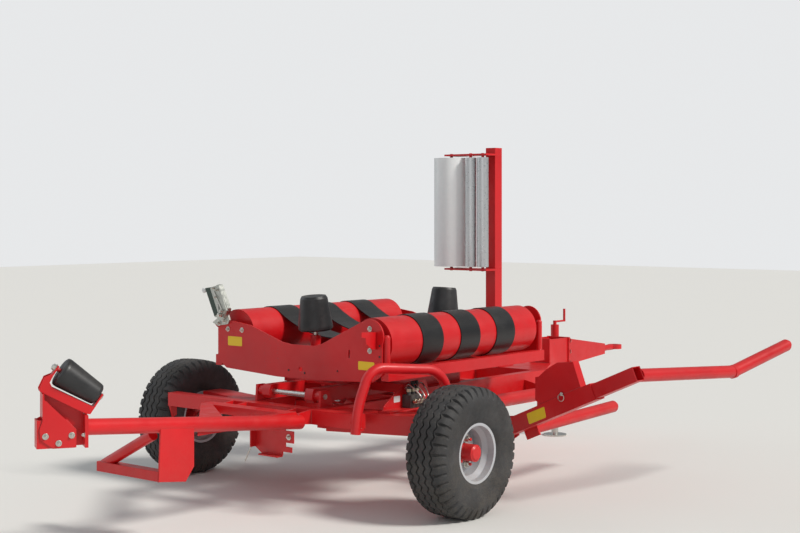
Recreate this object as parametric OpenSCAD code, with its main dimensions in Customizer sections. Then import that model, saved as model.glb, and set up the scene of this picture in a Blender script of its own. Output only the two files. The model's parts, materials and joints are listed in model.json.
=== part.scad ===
/* [Stance] */
// Distance from the wheel axle forward to the hitch eye
hitch_reach = 3300; // [3100:10:3500]
// Height of the hitch eye above the ground
hitch_height = 615; // [600:5:630]
// Distance between the mid-planes of the two wheels
track = 2150; // [2150:5:2250]

/* [Wheels] */
// Outer diameter of the tyre
tyre_d = 710; // [690:5:715]
// Width of the tyre
tyre_w = 264; // [250:1:265]
// Diameter of the bead seat of the rim
rim_seat_d = 305; // [300:1:310]
// Diameter of the rim flange
rim_flange_d = 336; // [330:1:345]
// Thickness of the rim plate
rim_t = 5; // [4:0.5:7]
// Diameter of the wheel spindle
spindle_d = 45; // [40:1:50]
// Diameter of the hub barrel
hub_d = 92; // [86:1:100]

/* [Chassis] */
// Distance from the centre line to the outer face of a main rail
rail_out = 300; // [290:2:310]
// Width of a main rail
rail_w = 60; // [50:2:70]
// Side and height of the rear hinge beam
rear_beam_s = 80; // [70:2:84]
// Distance of the rear face of the rear beam behind the axle
rear_face = 320; // [310:2:330]
// Diameter of the guard hoop tube
hoop_d = 56; // [48:1:57]

/* [Turntable] */
// Distance from the axle forward to the turntable axis
table_x = 600; // [595:5:605]
// Length of the table over its end plates
table_l = 1520; // [1480:10:1530]
// Width of an end plate
table_w = 1320; // [1300:10:1330]
// Thickness of an end plate
plate_t = 10; // [8:1:14]
// Diameter of a table roller
roller_d = 280; // [270:2:284]
// Height of the roller axes above the ground
roller_z = 912; // [910:1:925]
// Distance between the roller axes
roller_gap = 1080; // [1070:5:1090]
// Width of a belt
belt_w = 184; // [150:2:200]
// Thickness of a belt
belt_t = 5; // [4:0.5:8]
// Distance between the belts' centres
belt_pitch = 350; // [340:5:370]
// Height of the lowest point of the belts between the rollers
belt_low = 890; // [880:5:920]
// Diameter of a table cone at its foot
cone_d = 208; // [190:2:220]
// Height of a table cone
cone_h = 200; // [180:5:220]

/* [Loader] */
// Distance from the centre line to the loader pivot
loader_y = 430; // [420:2:440]
// Height of the loader pivot
loader_z = 450; // [440:2:456]
// Diameter of the loader pivot tube
pivot_d = 80; // [70:2:84]
// Side of the square loader beam
beam_s = 96; // [90:2:100]
// Wall of the loader beam
beam_t = 6; // [5:0.5:8]
// Diameter of the prongs
prong_d = 74; // [60:2:76]

/* [Rear arm] */
// Diameter of the rear arm tube
arm_d = 78; // [70:2:84]
// Length of the rear arm tube
arm_l = 1450; // [1400:10:1500]

/* [Film] */
// Distance from the axle forward to the mast
mast_x = 1960; // [1950:5:1980]
// Diameter of the film roll
film_d = 240; // [200:5:250]
// Width of the film
film_w = 750; // [700:10:760]

/* [Clearances] */
// Radial running clearance of pins and shafts
run_fit = 0.05; // [0.02:0.01:0.09]
// Gap between faces that slide or turn past each other
face_gap = 0.3; // [0.3:0.1:1]

/* [Hidden] */
$fn = 48;
red = "firebrick";
dark = "dimgray";
steel = "silver";
eps = 0.01;

axle_z = tyre_d / 2;
wheel_y = track / 2;
tyre_in = wheel_y - tyre_w / 2;

// Everything is drawn from the axle line at ground level; this moves it so that the hitch eye is the origin
module placed() { translate([-hitch_reach, 0, -hitch_height]) children(); }

// Plates: an outline in the plane across the machine, along it, or flat, with its lowest face given
module across(x, t) { translate([x, 0, 0]) rotate([90, 0, 90]) linear_extrude(t) children(); }
module along(y, t) { translate([0, y + t, 0]) rotate([90, 0, 0]) linear_extrude(t) children(); }
module flat(z, t) { translate([0, 0, z]) linear_extrude(t) children(); }
// A box from its lowest to its highest corner
module block(low, high) { translate(low) cube(high - low); }
// A round bar between two points
module rod(p, q, d) {
    v = q - p;
    translate(p) rotate([0, acos(v[2] / norm(v)), atan2(v[1], v[0])]) cylinder(h = norm(v), d = d);
}
// A round bar with a blunt tapered tip
tip_l = 24;
module spike(p, q, d) {
    v = q - p;
    translate(p) rotate([0, acos(v[2] / norm(v)), atan2(v[1], v[0])])
        rotate_extrude() polygon([[0, 0], [d / 2, 0], [d / 2, norm(v) - tip_l], [d / 2 - tip_l / 2, norm(v)], [0, norm(v)]]);
}
module pin_x(x, y, z, l, d) { translate([x, y, z]) rotate([0, 90, 0]) cylinder(h = l, d = d); }
module pin_y(x, y, z, l, d) { translate([x, y + l, z]) rotate([90, 0, 0]) cylinder(h = l, d = d); }
// Makes a part for the left side, or mirrored for the right side
module side(s) { scale([1, s, 1]) children(); }
module both_sides() { for (s = [1, -1]) mirror([0, s < 0 ? 1 : 0, 0]) children(); }

// WHEELS
rim_half = 106;
disc_y = 14;
hub_len = 96;
stud_pcd = 140;
stud_n = 5;
// Half of the tyre section: radius, distance from the mid-plane
tyre_side = [
    [rim_seat_d / 2, 100], [rim_flange_d / 2 - 2, 100], [rim_flange_d / 2 + 12, 112],
    [tyre_d / 2 - 128, tyre_w / 2 - 6], [tyre_d / 2 - 92, tyre_w / 2], [tyre_d / 2 - 52, tyre_w / 2 - 3],
    [tyre_d / 2 - 20, tyre_w / 2 - 16], [tyre_d / 2 - 8, tyre_w / 2 - 30], [tyre_d / 2, tyre_w / 2 - 56]
];
function flipped(points) = [for (i = [len(points) - 1:-1:0]) [points[i][0], -points[i][1]]];
groove_y = [-54, 0, 54];

module on_axle(s) { translate([0, s * wheel_y, axle_z]) rotate([90, 0, s > 0 ? 180 : 0]) children(); }
tyre_wall = 13;
// Inside of the casing, open towards the rim: radius, distance from the mid-plane
tyre_inside = [
    [rim_seat_d / 2, 84], [rim_seat_d / 2 + 16, 84], [tyre_d / 2 - 126, tyre_w / 2 - 6 - tyre_wall],
    [tyre_d / 2 - 90, tyre_w / 2 - tyre_wall], [tyre_d / 2 - 54, tyre_w / 2 - 3 - tyre_wall],
    [tyre_d / 2 - 30, tyre_w / 2 - 34], [tyre_d / 2 - 26, tyre_w / 2 - 60]
];
module tyre() {
    color(dark) difference() {
        rotate_extrude($fn = 96) difference() {
            polygon(concat(tyre_side, flipped(tyre_side)));
            polygon(concat([[rim_seat_d / 2 - 20, 84]], tyre_inside, flipped(tyre_inside), [[rim_seat_d / 2 - 20, -84]]));
        }
        for (g = groove_y)
            rotate_extrude($fn = 96) translate([tyre_d / 2 - 9, g - 5]) square([20, 10]);
    }
}
// Outer line of the rim section: radius, distance outwards from the mid-plane
rim_line = [
    [rim_flange_d / 2, rim_half + 4], [rim_flange_d / 2, rim_half], [rim_flange_d / 2 - 3, 100],
    [rim_seat_d / 2, 100], [rim_seat_d / 2 - 1, 68], [rim_seat_d / 2 - 22, 44], [rim_seat_d / 2 - 22, -44],
    [rim_seat_d / 2 - 1, -68], [rim_seat_d / 2, -100], [rim_flange_d / 2 - 3, -100],
    [rim_flange_d / 2, -rim_half], [rim_flange_d / 2, -rim_half - 4]
];
function inner_line(points) = [for (i = [len(points) - 1:-1:0])
    [min(points[i][0], rim_seat_d / 2) - rim_t, points[i][1] * (rim_half + 4 - rim_t / 2) / (rim_half + 4)]];
module rim() {
    color(steel) difference() {
        union() {
            rotate_extrude($fn = 96) polygon(concat(rim_line, inner_line(rim_line)));
            // dished disc
            rotate_extrude($fn = 96) polygon([
                [hub_d / 2 + 2, disc_y], [stud_pcd / 2 + 20, disc_y], [rim_seat_d / 2 - 24, disc_y - 30],
                [rim_seat_d / 2 - 24, disc_y - 38], [stud_pcd / 2 + 16, disc_y - 8], [hub_d / 2 + 2, disc_y - 8]
            ]);
        }
        for (i = [0:stud_n - 1])
            rotate([0, 0, i * 360 / stud_n]) translate([stud_pcd / 2, 0, disc_y - 20]) cylinder(h = 40, d = 18);
    }
}
module hub() {
    color(red) difference() {
        union() {
            translate([0, 0, -70]) cylinder(h = 70 + hub_len, d = hub_d);
            translate([0, 0, disc_y - 8 - 12 - face_gap]) cylinder(h = 12, d = stud_pcd + 30);
            translate([0, 0, hub_len - eps]) cylinder(h = 8, d1 = hub_d - 8, d2 = hub_d - 26);
            for (i = [0:stud_n - 1]) rotate([0, 0, i * 360 / stud_n]) translate([stud_pcd / 2, 0, disc_y - 12])
                cylinder(h = 46, d = 16);
        }
        translate([0, 0, -71]) cylinder(h = 71 + 60, d = spindle_d + 2 * run_fit);
    }
}
module tyre_left() { placed() on_axle(1) tyre(); }
module tyre_right() { placed() on_axle(-1) tyre(); }
module rim_left() { placed() on_axle(1) rim(); }
module rim_right() { placed() on_axle(-1) rim(); }
module hub_left() { placed() on_axle(1) hub(); }
module hub_right() { placed() on_axle(-1) hub(); }

// CHASSIS
rail_in = rail_out - rail_w;
rear_x = -rear_face;
rear_z = 460;
rear_top = rear_z + rear_beam_s;
rear_y = [-600, 930];
neck_x = 1930;
head_x = 2300;
head_l = 230;
head_w = 170;
head_z = [530, 745];
// Side view of a main rail: distance forward, height
rail_side = [
    [rear_x + rear_beam_s, 430], [rear_x + rear_beam_s, 540], [450, 540], [640, 575],
    [neck_x, 575], [neck_x, 375], [900, 375], [520, 430]
];
cross_table = [[80, 60], [620, 80], [1060, 70], [1560, 70]];
module main_frame() {
    color(red) placed() {
        both_sides() along(rail_in, rail_w) polygon(rail_side);
        // cross members: distance forward, width along the machine
        for (c = cross_table) block([c[0], -rail_in - eps, 435], [c[0] + c[1], rail_in + eps, 512]);
        // neck that narrows from the rails to the headstock
        flat(400, 175) polygon([
            [neck_x - 60, rail_out], [neck_x, rail_out], [head_x + 20, head_w / 2], [head_x + head_l, head_w / 2],
            [head_x + head_l, -head_w / 2], [head_x + 20, -head_w / 2], [neck_x, -rail_out], [neck_x - 60, -rail_out]
        ]);
        // headstock: two cheeks and the plate that closes them at the rear
        both_sides() along(head_w / 2 - 12, 12) polygon([
            [head_x, 570], [head_x, head_z[1] - 6], [head_x + head_l, head_z[1] - 6], [head_x + head_l, 570]
        ]);
        block([head_x, -head_w / 2, 560], [head_x + 12, head_w / 2, head_z[1]]);
        // rest pad for the tilting frame
        block([1070, -200, 511], [1110, 200, tilt_z - tilt_h / 2 - face_gap]);
        // lugs for the tilt shaft
        both_sides() difference() {
            along(rail_in + 4, 16) polygon([
                [tilt_x - 38, 530], [tilt_x - 30, tilt_z + 34], [tilt_x + 30, tilt_z + 34], [tilt_x + 80, 530]
            ]);
            pin_y(tilt_x, rail_in, tilt_z, 40, tilt_pin_d);
        }
        // brackets for the foot of the tilt cylinder and the loader cylinder
        both_sides() difference() {
            along(tilt_cyl_w / 2 + face_gap, 10) polygon([
                [tilt_base[0] - 30, 436], [tilt_base[0] - 26, tilt_base[1] - 20], [tilt_base[0] - 14, tilt_base[1] - 32],
                [tilt_base[0] + 14, tilt_base[1] - 32], [tilt_base[0] + 26, tilt_base[1] - 20], [tilt_base[0] + 36, 436]
            ]);
            pin_y(tilt_base[0], 0, tilt_base[1], 60, 24);
        }
        pin_y(tilt_base[0], -tilt_cyl_w / 2 - 14, tilt_base[1], tilt_cyl_w + 28, 24);
        for (x = [-1, 1]) difference() {
            across(lift_x + (x > 0 ? lift_w / 2 + face_gap : -lift_w / 2 - face_gap - 10), 10) polygon([
                [rail_in + 20, 440], [rail_in + 20, 370], [lift_base[0] + 50, lift_base[1] - 28],
                [lift_base[0] - 26, lift_base[1] - 28], [lift_base[0] - 26, lift_base[1] + 26],
                [lift_base[0] + 30, lift_base[1] + 60], [rail_in - 40, 440]
            ]);
            pin_x(lift_x - 60, lift_base[0], lift_base[1], 120, 24);
        }
        pin_x(lift_x - lift_w / 2 - 14, lift_base[0], lift_base[1], lift_w + 28, 24);
    }
}

hinge_x = -400;
hinge_z = 500;
hinge_pin_d = 24;
// Hinge brackets of the rear arm: centre of each pair of lugs, from the centre line
hinge_y = [305, -205];
lug_gap = 96;
module rear_beam() {
    color(red) placed() {
        block([rear_x, rear_y[0], rear_z], [rear_x + rear_beam_s, rear_y[1], rear_top]);
        for (h = hinge_y) for (s = [-1, 1]) difference() {
            along(h + s * (lug_gap / 2 + 8) - 8, 16) polygon([
                [rear_x + 1, rear_z], [rear_x + 1, rear_top], [hinge_x - 10, hinge_z + 30],
                [hinge_x - 32, hinge_z + 8], [hinge_x - 30, hinge_z - 18], [hinge_x - 12, hinge_z - 30]
            ]);
            pin_y(hinge_x, h + s * (lug_gap / 2 + 8) - 9, hinge_z, 18, hinge_pin_d);
        }
        for (h = hinge_y) pin_y(hinge_x, h - lug_gap / 2 - 22, hinge_z, lug_gap + 44, hinge_pin_d);
        // gussets on the left end
        along(rear_y[1] - 12, 12) polygon([
            [rear_x + 6, rear_z], [rear_x + 60, rear_z], [rear_x + 60, rear_z - 60], [rear_x + 30, rear_z - 74]
        ]);
    }
}

arm_root = [-178, rail_in + 10];
arm_tip = [20, tyre_in - 32];
arm_box_w = 110;
arm_box_z = [415, 525];
module axle_arms() {
    color(red) placed() both_sides() {
        flat(arm_box_z[0], arm_box_z[1] - arm_box_z[0]) polygon([
            [arm_root[0] - arm_box_w / 2, rail_out], [arm_root[0] + arm_box_w / 2 + 90, rail_out],
            [arm_tip[0] + arm_box_w / 2 + 16, arm_tip[1] - 90], [arm_tip[0] + arm_box_w / 2 + 16, arm_tip[1]],
            [arm_tip[0] - arm_box_w / 2 - 16, arm_tip[1]], [arm_tip[0] - arm_box_w / 2 - 16, arm_tip[1] - 60]
        ]);
        // drop bracket down to the spindle
        along(arm_tip[1] - 46, 46) polygon([
            [-54, arm_box_z[0] + 2], [-44, axle_z - 46], [44, axle_z - 46], [54, arm_box_z[0] + 2]
        ]);
    }
}
module wheel_spindles() {
    color(steel) placed() both_sides() pin_y(0, arm_tip[1], axle_z, wheel_y - arm_tip[1] + 56, spindle_d);
}

eye_bore_d = 50;
eye_out_d = 104;
eye_t = 32;
bar_z = [543, 734];
bar_w = [80, 46];
bar_x = [head_x + head_l, hitch_reach - 210];
function bar_half(x) = bar_w[0] + (bar_w[1] - bar_w[0]) * (x - bar_x[0]) / (bar_x[1] - bar_x[0]);
module drawbar() {
    color(red) placed() difference() {
        union() {
            intersection() {
                along(-80, 160) polygon([
                    [head_x + head_l, bar_z[0]], [head_x + head_l, bar_z[1]],
                    [hitch_reach - 210, hitch_height + 40], [hitch_reach - 210, hitch_height - 36]
                ]);
                flat(400, 400) polygon([
                    [bar_x[0], bar_w[0]], [bar_x[1], bar_w[1]], [bar_x[1], -bar_w[1]], [bar_x[0], -bar_w[0]]
                ]);
            }
            // flange that bolts on the headstock
            block([head_x + head_l, -94, bar_z[0] - 6], [head_x + head_l + 16, 94, bar_z[1] + 8]);
            // collar and shank of the eye
            pin_x(hitch_reach - 216, 0, hitch_height, 40, 66);
            pin_x(hitch_reach - 190, 0, hitch_height, 150, 44);
            translate([hitch_reach, 0, hitch_height - eye_t / 2]) cylinder(h = eye_t, d = eye_out_d);
        }
        translate([hitch_reach, 0, hitch_height - eye_t]) cylinder(h = 2 * eye_t, d = eye_bore_d);
    }
}

hoop_foot = [rear_x - 124, -710];
hoop_leg = [94, -tyre_in + hoop_d / 2 + 15];
// Corners of the bent tube's centre line: distance from the rear leg, height, bend radius, steps of the bend
hoop_line = [
    [0, rear_z + 2, 0, 0], [8.9, 589.5, 600, 4], [88, 809.3, 109, 10], [570, 771.1, 142, 12],
    [570, arm_box_z[1] + 4, 0, 0]
];
hoop_last = len(hoop_line) - 1;
// Slope of the run that starts at corner i, and what the corner turns down
function hoop_slope(i) = let (p = hoop_line[min(i, hoop_last - 1)], q = hoop_line[min(i, hoop_last - 1) + 1])
    atan2(q[1] - p[1], q[0] - p[0]);
function hoop_turn(i) = hoop_slope(i - 1) - hoop_slope(i);
// Distance, height and slope at step k of corner i, on the arc that touches both of its runs
function hoop_at(i, k) = let (
    c = hoop_line[i], r = c[2], end = i == 0 || i == hoop_last, into = end ? hoop_slope(i) : hoop_slope(i - 1),
    back = end ? 0 : r * tan(hoop_turn(i) / 2), now = end ? into : into - hoop_turn(i) * k / c[3]
) [c[0] - back * cos(into) + r * (sin(into) - sin(now)), c[1] - back * sin(into) + r * (cos(now) - cos(into)), now];
hoop_path = [for (i = [0:hoop_last]) for (k = [0:hoop_line[i][3]]) hoop_at(i, k)];
// Round tube along points that each have a distance, a height and a slope
module bent_tube(path, d, sides = 20) {
    points = [
        for (p = path) for (k = [0:sides - 1]) let (out = d / 2 * cos(360 * k / sides))
            [p[0] - out * sin(p[2]), d / 2 * sin(360 * k / sides), p[1] + out * cos(p[2])]
    ];
    skin = [
        for (i = [0:len(path) - 2]) for (k = [0:sides - 1])
            let (a = i * sides + k, b = i * sides + (k + 1) % sides) each [[a, b, a + sides], [b, b + sides, a + sides]]
    ];
    ends = [[for (k = [1:sides]) sides - k], [for (k = [0:sides - 1]) (len(path) - 1) * sides + k]];
    polyhedron(points, concat(ends, skin));
}
module guard_hoop() {
    run = hoop_leg - hoop_foot;
    color(red) placed() {
        translate([hoop_foot[0], hoop_foot[1], 0]) rotate([0, 0, atan2(run[1], run[0])]) bent_tube(hoop_path, hoop_d);
        // feet on the rear beam and on the axle arm
        flat(rear_z + 20, 12) polygon([
            [rear_x, -562], [rear_x, -598], [hoop_foot[0] + 34, hoop_foot[1] - 28], [hoop_foot[0] - 10, hoop_foot[1] - 28],
            [hoop_foot[0] - 10, hoop_foot[1] + 20]
        ]);
        block([30, -tyre_in + 13, arm_box_z[1]], [130, -870, arm_box_z[1] + 10]);
    }
}

pivot_x = [600, 1700];
module loader_pivot() {
    color(red) placed() {
        pin_x(pivot_x[0], -loader_y, loader_z, pivot_x[1] - pivot_x[0], pivot_d);
        // carrier plates from the right rail
        for (x = [pivot_x[0], 1130, pivot_x[1] - 14]) across(x, 14) polygon([
            [-rail_out, 400], [-rail_out, 530], [-loader_y - 20, loader_z + 48], [-loader_y - 52, loader_z + 10],
            [-loader_y - 52, loader_z - 20], [-loader_y - 30, loader_z - 48]
        ]);
    }
}

tilt_x = -200;
tilt_z = 600;
tilt_h = 80;
tilt_pin_d = 30;
module tilt_shaft() {
    color(steel) placed() pin_y(tilt_x, -rail_in - 26, tilt_z, 2 * rail_in + 52, tilt_pin_d);
}

// Plate with the valves, on the right axle arm: distance forward, height
valve_y = -560;
valve_points = [
    [-46, arm_box_z[1] + 4], [-40, 552], [49, 614], [178, 672], [327, 678], [348, 640], [348, arm_box_z[1] + 4]
];
module valve_plate() {
    color(red) placed() {
        block([-80, valve_y - 80, arm_box_z[1]], [350, valve_y + 8, arm_box_z[1] + 8]);
        along(valve_y, 8) polygon(valve_points);
        along(valve_y - 80, 8) polygon([[250, arm_box_z[1] + 4], [240, 560], [290, 590], [348, 590], [348, arm_box_z[1] + 4]]);
    }
}
module valve_block() {
    color("gray") placed() {
        block([120, valve_y - 62, arm_box_z[1] + 8.3], [232, valve_y - 0.3, 606]);
        for (x = [142, 176, 210]) translate([x, valve_y - 30, 606 - eps]) cylinder(h = 46, d = 24);
        for (x = [142, 176, 210]) pin_y(x, valve_y - 90, 572, 30, 18);
    }
}

// FILM UNIT
mast_y = 150;
mast_s = 80;
mast_top = 2080;
film_low = 1260;
film_y = 390;
film_x = mast_x - 170;
module film_mast() {
    color(red) placed() {
        block([mast_x - mast_s / 2, mast_y - mast_s / 2, 575], [mast_x + mast_s / 2, mast_y + mast_s / 2, mast_top]);
        block([mast_x - 90, mast_y - 110, 575], [mast_x + 80, mast_y + 90, 587]);
        for (s = [-1, 1]) along(mast_y + s * 34 - 4, 8) polygon([
            [mast_x + mast_s / 2, 587], [mast_x + mast_s / 2, 760], [mast_x + 88, 587]
        ]);
    }
}
module film_carrier() {
    color(red) placed() {
        for (z = [film_low - 26, film_low + film_w + 14]) difference() {
            block([film_x - 30, mast_y - 80, z], [mast_x - mast_s / 2, film_y + 40, z + 12]);
            translate([film_x, film_y, z - 10]) cylinder(h = 40, d = 20);
            for (r = stretch_at) translate([r[0], r[1], z - 10]) cylinder(h = 40, d = 20);
        }
        translate([film_x, film_y, film_low - 30]) cylinder(h = film_w + 60, d = 20);
        for (r = stretch_at) translate([r[0], r[1], film_low - 30]) cylinder(h = film_w + 60, d = 20);
    }
}
stretch_d = 80;
stretch_at = [[film_x - 14, film_y - 178], [film_x + 4, film_y - 268]];
module film_roll() {
    color("whitesmoke") placed() translate([film_x, film_y, film_low]) difference() {
        cylinder(h = film_w, d = film_d, $fn = 64);
        translate([0, 0, -1]) cylinder(h = film_w + 2, d = 20 + 2 * run_fit);
    }
}
module stretch_roller(i) {
    color(steel) placed() translate([stretch_at[i][0], stretch_at[i][1], film_low]) difference() {
        cylinder(h = film_w, d = stretch_d);
        translate([0, 0, -1]) cylinder(h = film_w + 2, d = 20 + 2 * run_fit);
    }
}
module stretch_roller_a() { stretch_roller(0); }
module stretch_roller_b() { stretch_roller(1); }

// PARKING JACK
jack_x = 2700;
jack_y = 140;
jack_d = 60;
jack_leg_d = 50;
module jack_sleeve() {
    color(red) placed() difference() {
        union() {
            translate([jack_x, jack_y, 330]) cylinder(h = 480, d = jack_d);
            flat(590, 80) polygon([
                [jack_x - 40, bar_half(jack_x - 40)], [jack_x + 40, bar_half(jack_x + 40)],
                [jack_x + 40, jack_y - 10], [jack_x - 40, jack_y - 10]
            ]);
            rod([jack_x, jack_y, 806], [jack_x, jack_y, 840], 26);
            rod([jack_x, jack_y, 832], [jack_x + 130, jack_y, 832], 14);
            rod([jack_x + 124, jack_y, 826], [jack_x + 124, jack_y, 920], 18);
        }
        translate([jack_x, jack_y, 320]) cylinder(h = 470, d = jack_leg_d + 2 * run_fit);
    }
}
module jack_leg() {
    color(steel) placed() {
        translate([jack_x, jack_y, 6]) cylinder(h = 500, d = jack_leg_d);
        translate([jack_x, jack_y, 0]) cylinder(h = 10, d = 170);
    }
}

// TILTING FRAME
tilt_rail_y = 170;
tilt_rail_w = 60;
tilt_front = 1120;
ring_d = 420;
ring_h = 30;
tilt_top = tilt_z + tilt_h / 2;
module tilt_frame() {
    color(red) placed() difference() {
        union() {
            both_sides() along(tilt_rail_y - tilt_rail_w / 2, tilt_rail_w) polygon([
                [tilt_x - 40, tilt_z + 10], [tilt_x - 26, tilt_top], [tilt_front, tilt_top],
                [tilt_front, tilt_z - tilt_h / 2], [tilt_x - 20, tilt_z - tilt_h / 2], [tilt_x - 40, tilt_z - 20]
            ]);
            // wide cross beam with cut-back ends
            translate([270, 0, 0]) across(0, 80) polygon([
                [-520, tilt_z + 12], [-480, tilt_top], [480, tilt_top], [520, tilt_z + 12],
                [520, tilt_z - 10], [-520, tilt_z - 10]
            ]);
            block([tilt_front - 60, -tilt_rail_y, tilt_z - tilt_h / 2], [tilt_front, tilt_rail_y, tilt_top]);
            block([table_x - 150, -tilt_rail_y, tilt_top - 16], [table_x + 220, tilt_rail_y, tilt_top]);
            both_sides() pin_y(tilt_x, tilt_rail_y, tilt_z, rail_in - tilt_rail_y, 60);
            // ring bearing
            translate([table_x, 0, tilt_top - eps]) cylinder(h = ring_h, d = ring_d);
            // lug of the tilt rod
            along(-15, 30) polygon([
                [tilt_eye[0] - 26, tilt_eye[1] - 24], [tilt_eye[0] + 26, tilt_eye[1] - 24],
                [tilt_eye[0] + 60, tilt_top - 2], [tilt_eye[0] - 60, tilt_top - 2]
            ]);
            block([tilt_eye[0] - 60, -tilt_rail_y, tilt_top - 12], [tilt_eye[0] + 60, tilt_rail_y, tilt_top]);
        }
        pin_y(tilt_x, -300, tilt_z, 600, tilt_pin_d + 2 * run_fit);
    }
}
module turn_motor() {
    color("gray") placed() translate([table_x + 160, 90, tilt_top - 86]) {
        cylinder(h = 70, d = 90);
        translate([0, 0, -50]) cylinder(h = 51, d = 70);
    }
}

// TABLE
half_l = table_l / 2;
table_z = tilt_top + ring_h + face_gap;
hub_h = 14;
// Outline of the rear end plate: distance to the left, height
plate_low = 680;
lobe_r = 95;
lobe_z = 952;
module plate_outline() {
    difference() {
        union() {
            polygon([
                [-table_w / 2 + 8, 745], [-table_w / 2 + 76, plate_low + 22], [-230, plate_low + 4], [-160, plate_low],
                [160, plate_low], [230, plate_low + 4], [table_w / 2 - 76, plate_low + 22], [table_w / 2 - 8, 745],
                [table_w / 2 - 8, 930], [table_w / 2 - 40, 978], [520, 985], [380, 968], [120, 884], [40, 874],
                [-140, 876], [-200, 892], [-500, 1030], [-table_w / 2 + 8, 930]
            ]);
            translate([-table_w / 2 + lobe_r, lobe_z]) circle(r = lobe_r);
            translate([table_w / 2 - 60, 930]) circle(r = 58);
        }
        translate([-30, 736]) circle(d = 26);
        translate([-412, 825]) square([10, 44]);
    }
}
plate_rear_x = table_x - half_l;
plate_front_x = table_x + half_l - plate_t;
axle_stub_d = 50;
module end_plate_rear() {
    color(red) placed() difference() {
        across(plate_rear_x, plate_t) plate_outline();
        for (s = [-1, 1]) pin_x(plate_rear_x - 1, s * roller_gap / 2, roller_z, plate_t + 2, axle_stub_d);
    }
}
module end_plate_front() {
    color(red) placed() difference() {
        across(plate_front_x, plate_t) plate_outline();
        for (s = [-1, 1]) pin_x(plate_front_x - 1, s * roller_gap / 2, roller_z, plate_t + 2, axle_stub_d);
    }
}
side_rail_z = [712, 776];
side_rail_y = [636, 688];
stub_l = [68, 100];
post_d = 36;
post_y = 662;
post_top = 963;
module table_frame() {
    color(red) placed() {
        translate([table_x, 0, table_z]) cylinder(h = hub_h, d = 440);
        // longitudinal beams between the end plates
        both_sides() block([plate_rear_x + plate_t, 150, table_z + hub_h - eps], [plate_front_x, 210, beam_top]);
        // cross beams out to the side rails
        for (x = [table_x - 330, table_x + 270]) block([x, -side_rail_y[0], 700], [x + 60, side_rail_y[0], 750]);
        // bearing stubs of the rollers, through the end plates
        for (s = [-1, 1]) {
            pin_x(plate_rear_x, s * roller_gap / 2, roller_z, plate_t + stub_l[0], axle_stub_d);
            pin_x(plate_front_x - stub_l[1], s * roller_gap / 2, roller_z, plate_t + stub_l[1], axle_stub_d);
        }
    }
}
// Side rails under the rollers, with a post at each end
module side_rails() {
    color(red) placed() {
        both_sides() block([plate_rear_x + plate_t, side_rail_y[0], side_rail_z[0]],
            [plate_front_x, side_rail_y[1], side_rail_z[1]]);
        for (x = [plate_rear_x + plate_t + post_d / 2 + face_gap, plate_front_x - post_d / 2 - face_gap]) for (s = [-1, 1])
            translate([x, s * post_y, 0]) {
                translate([0, 0, side_rail_z[0] + 2]) cylinder(h = post_top - side_rail_z[0] - 12, d = post_d);
                translate([0, 0, post_top - 10 - eps]) cylinder(h = 10, d1 = post_d, d2 = post_d - 14);
            }
    }
}
// Cone spindles with their brackets, welded on the beams
beam_top = 752;
module cone_posts() {
    color(red) placed() for (s = [-1, 1]) {
        translate([table_x + s * cone_x, 0, cone_foot_z]) rotate([0, s * cone_lean, 0]) translate([0, 0, -60])
            cylinder(h = cone_h + 46, d = 24);
        block([table_x + s * cone_x - 34, -210, beam_top], [table_x + s * cone_x + 34, 210, beam_top + 12]);
        translate([table_x + s * cone_x, 0, beam_top + 6]) cylinder(h = cone_foot_z - beam_top - 36, d = 60);
    }
}
// Free space between the rollers and the rear and front end plates
roller_end = [42, 74];
roller_x = plate_rear_x + plate_t + roller_end[0];
roller_l = table_l - 2 * plate_t - roller_end[0] - roller_end[1];
roller_t = 8;
disc_t = 10;
module roller(s) {
    color(red) placed() translate([roller_x, s * roller_gap / 2, roller_z]) rotate([0, 90, 0]) difference() {
        cylinder(h = roller_l, d = roller_d, $fn = 64);
        // hollow between the tube and its hub, with holes in the end discs
        translate([0, 0, disc_t]) difference() {
            cylinder(h = roller_l - 2 * disc_t, d = roller_d - 2 * roller_t, $fn = 64);
            translate([0, 0, -1]) cylinder(h = roller_l, d = axle_stub_d + 24);
        }
        for (a = [0, 180]) rotate([0, 0, a]) translate([60, 0, -1]) cylinder(h = roller_l + 2, d = 20);
        for (z = [-1, roller_l - 29]) translate([0, 0, z]) cylinder(h = 30, d = axle_stub_d + 2 * run_fit);
    }
}
module roller_left() { roller(1); }
module roller_right() { roller(-1); }

belt_r = roller_d / 2 + 0.5 + belt_t / 2;
// The sagging run is an arc that leaves both rollers smoothly and passes the lowest point
belt_drop = belt_low - roller_z;
sag_r = (pow(roller_gap / 2, 2) + pow(belt_drop, 2) - pow(belt_r, 2)) / (2 * (belt_r - belt_drop));
sag_z = belt_low + sag_r;
leave = asin((roller_gap / 2) / (sag_r + belt_r));
wrap_n = 42;
sag_n = 16;
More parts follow.
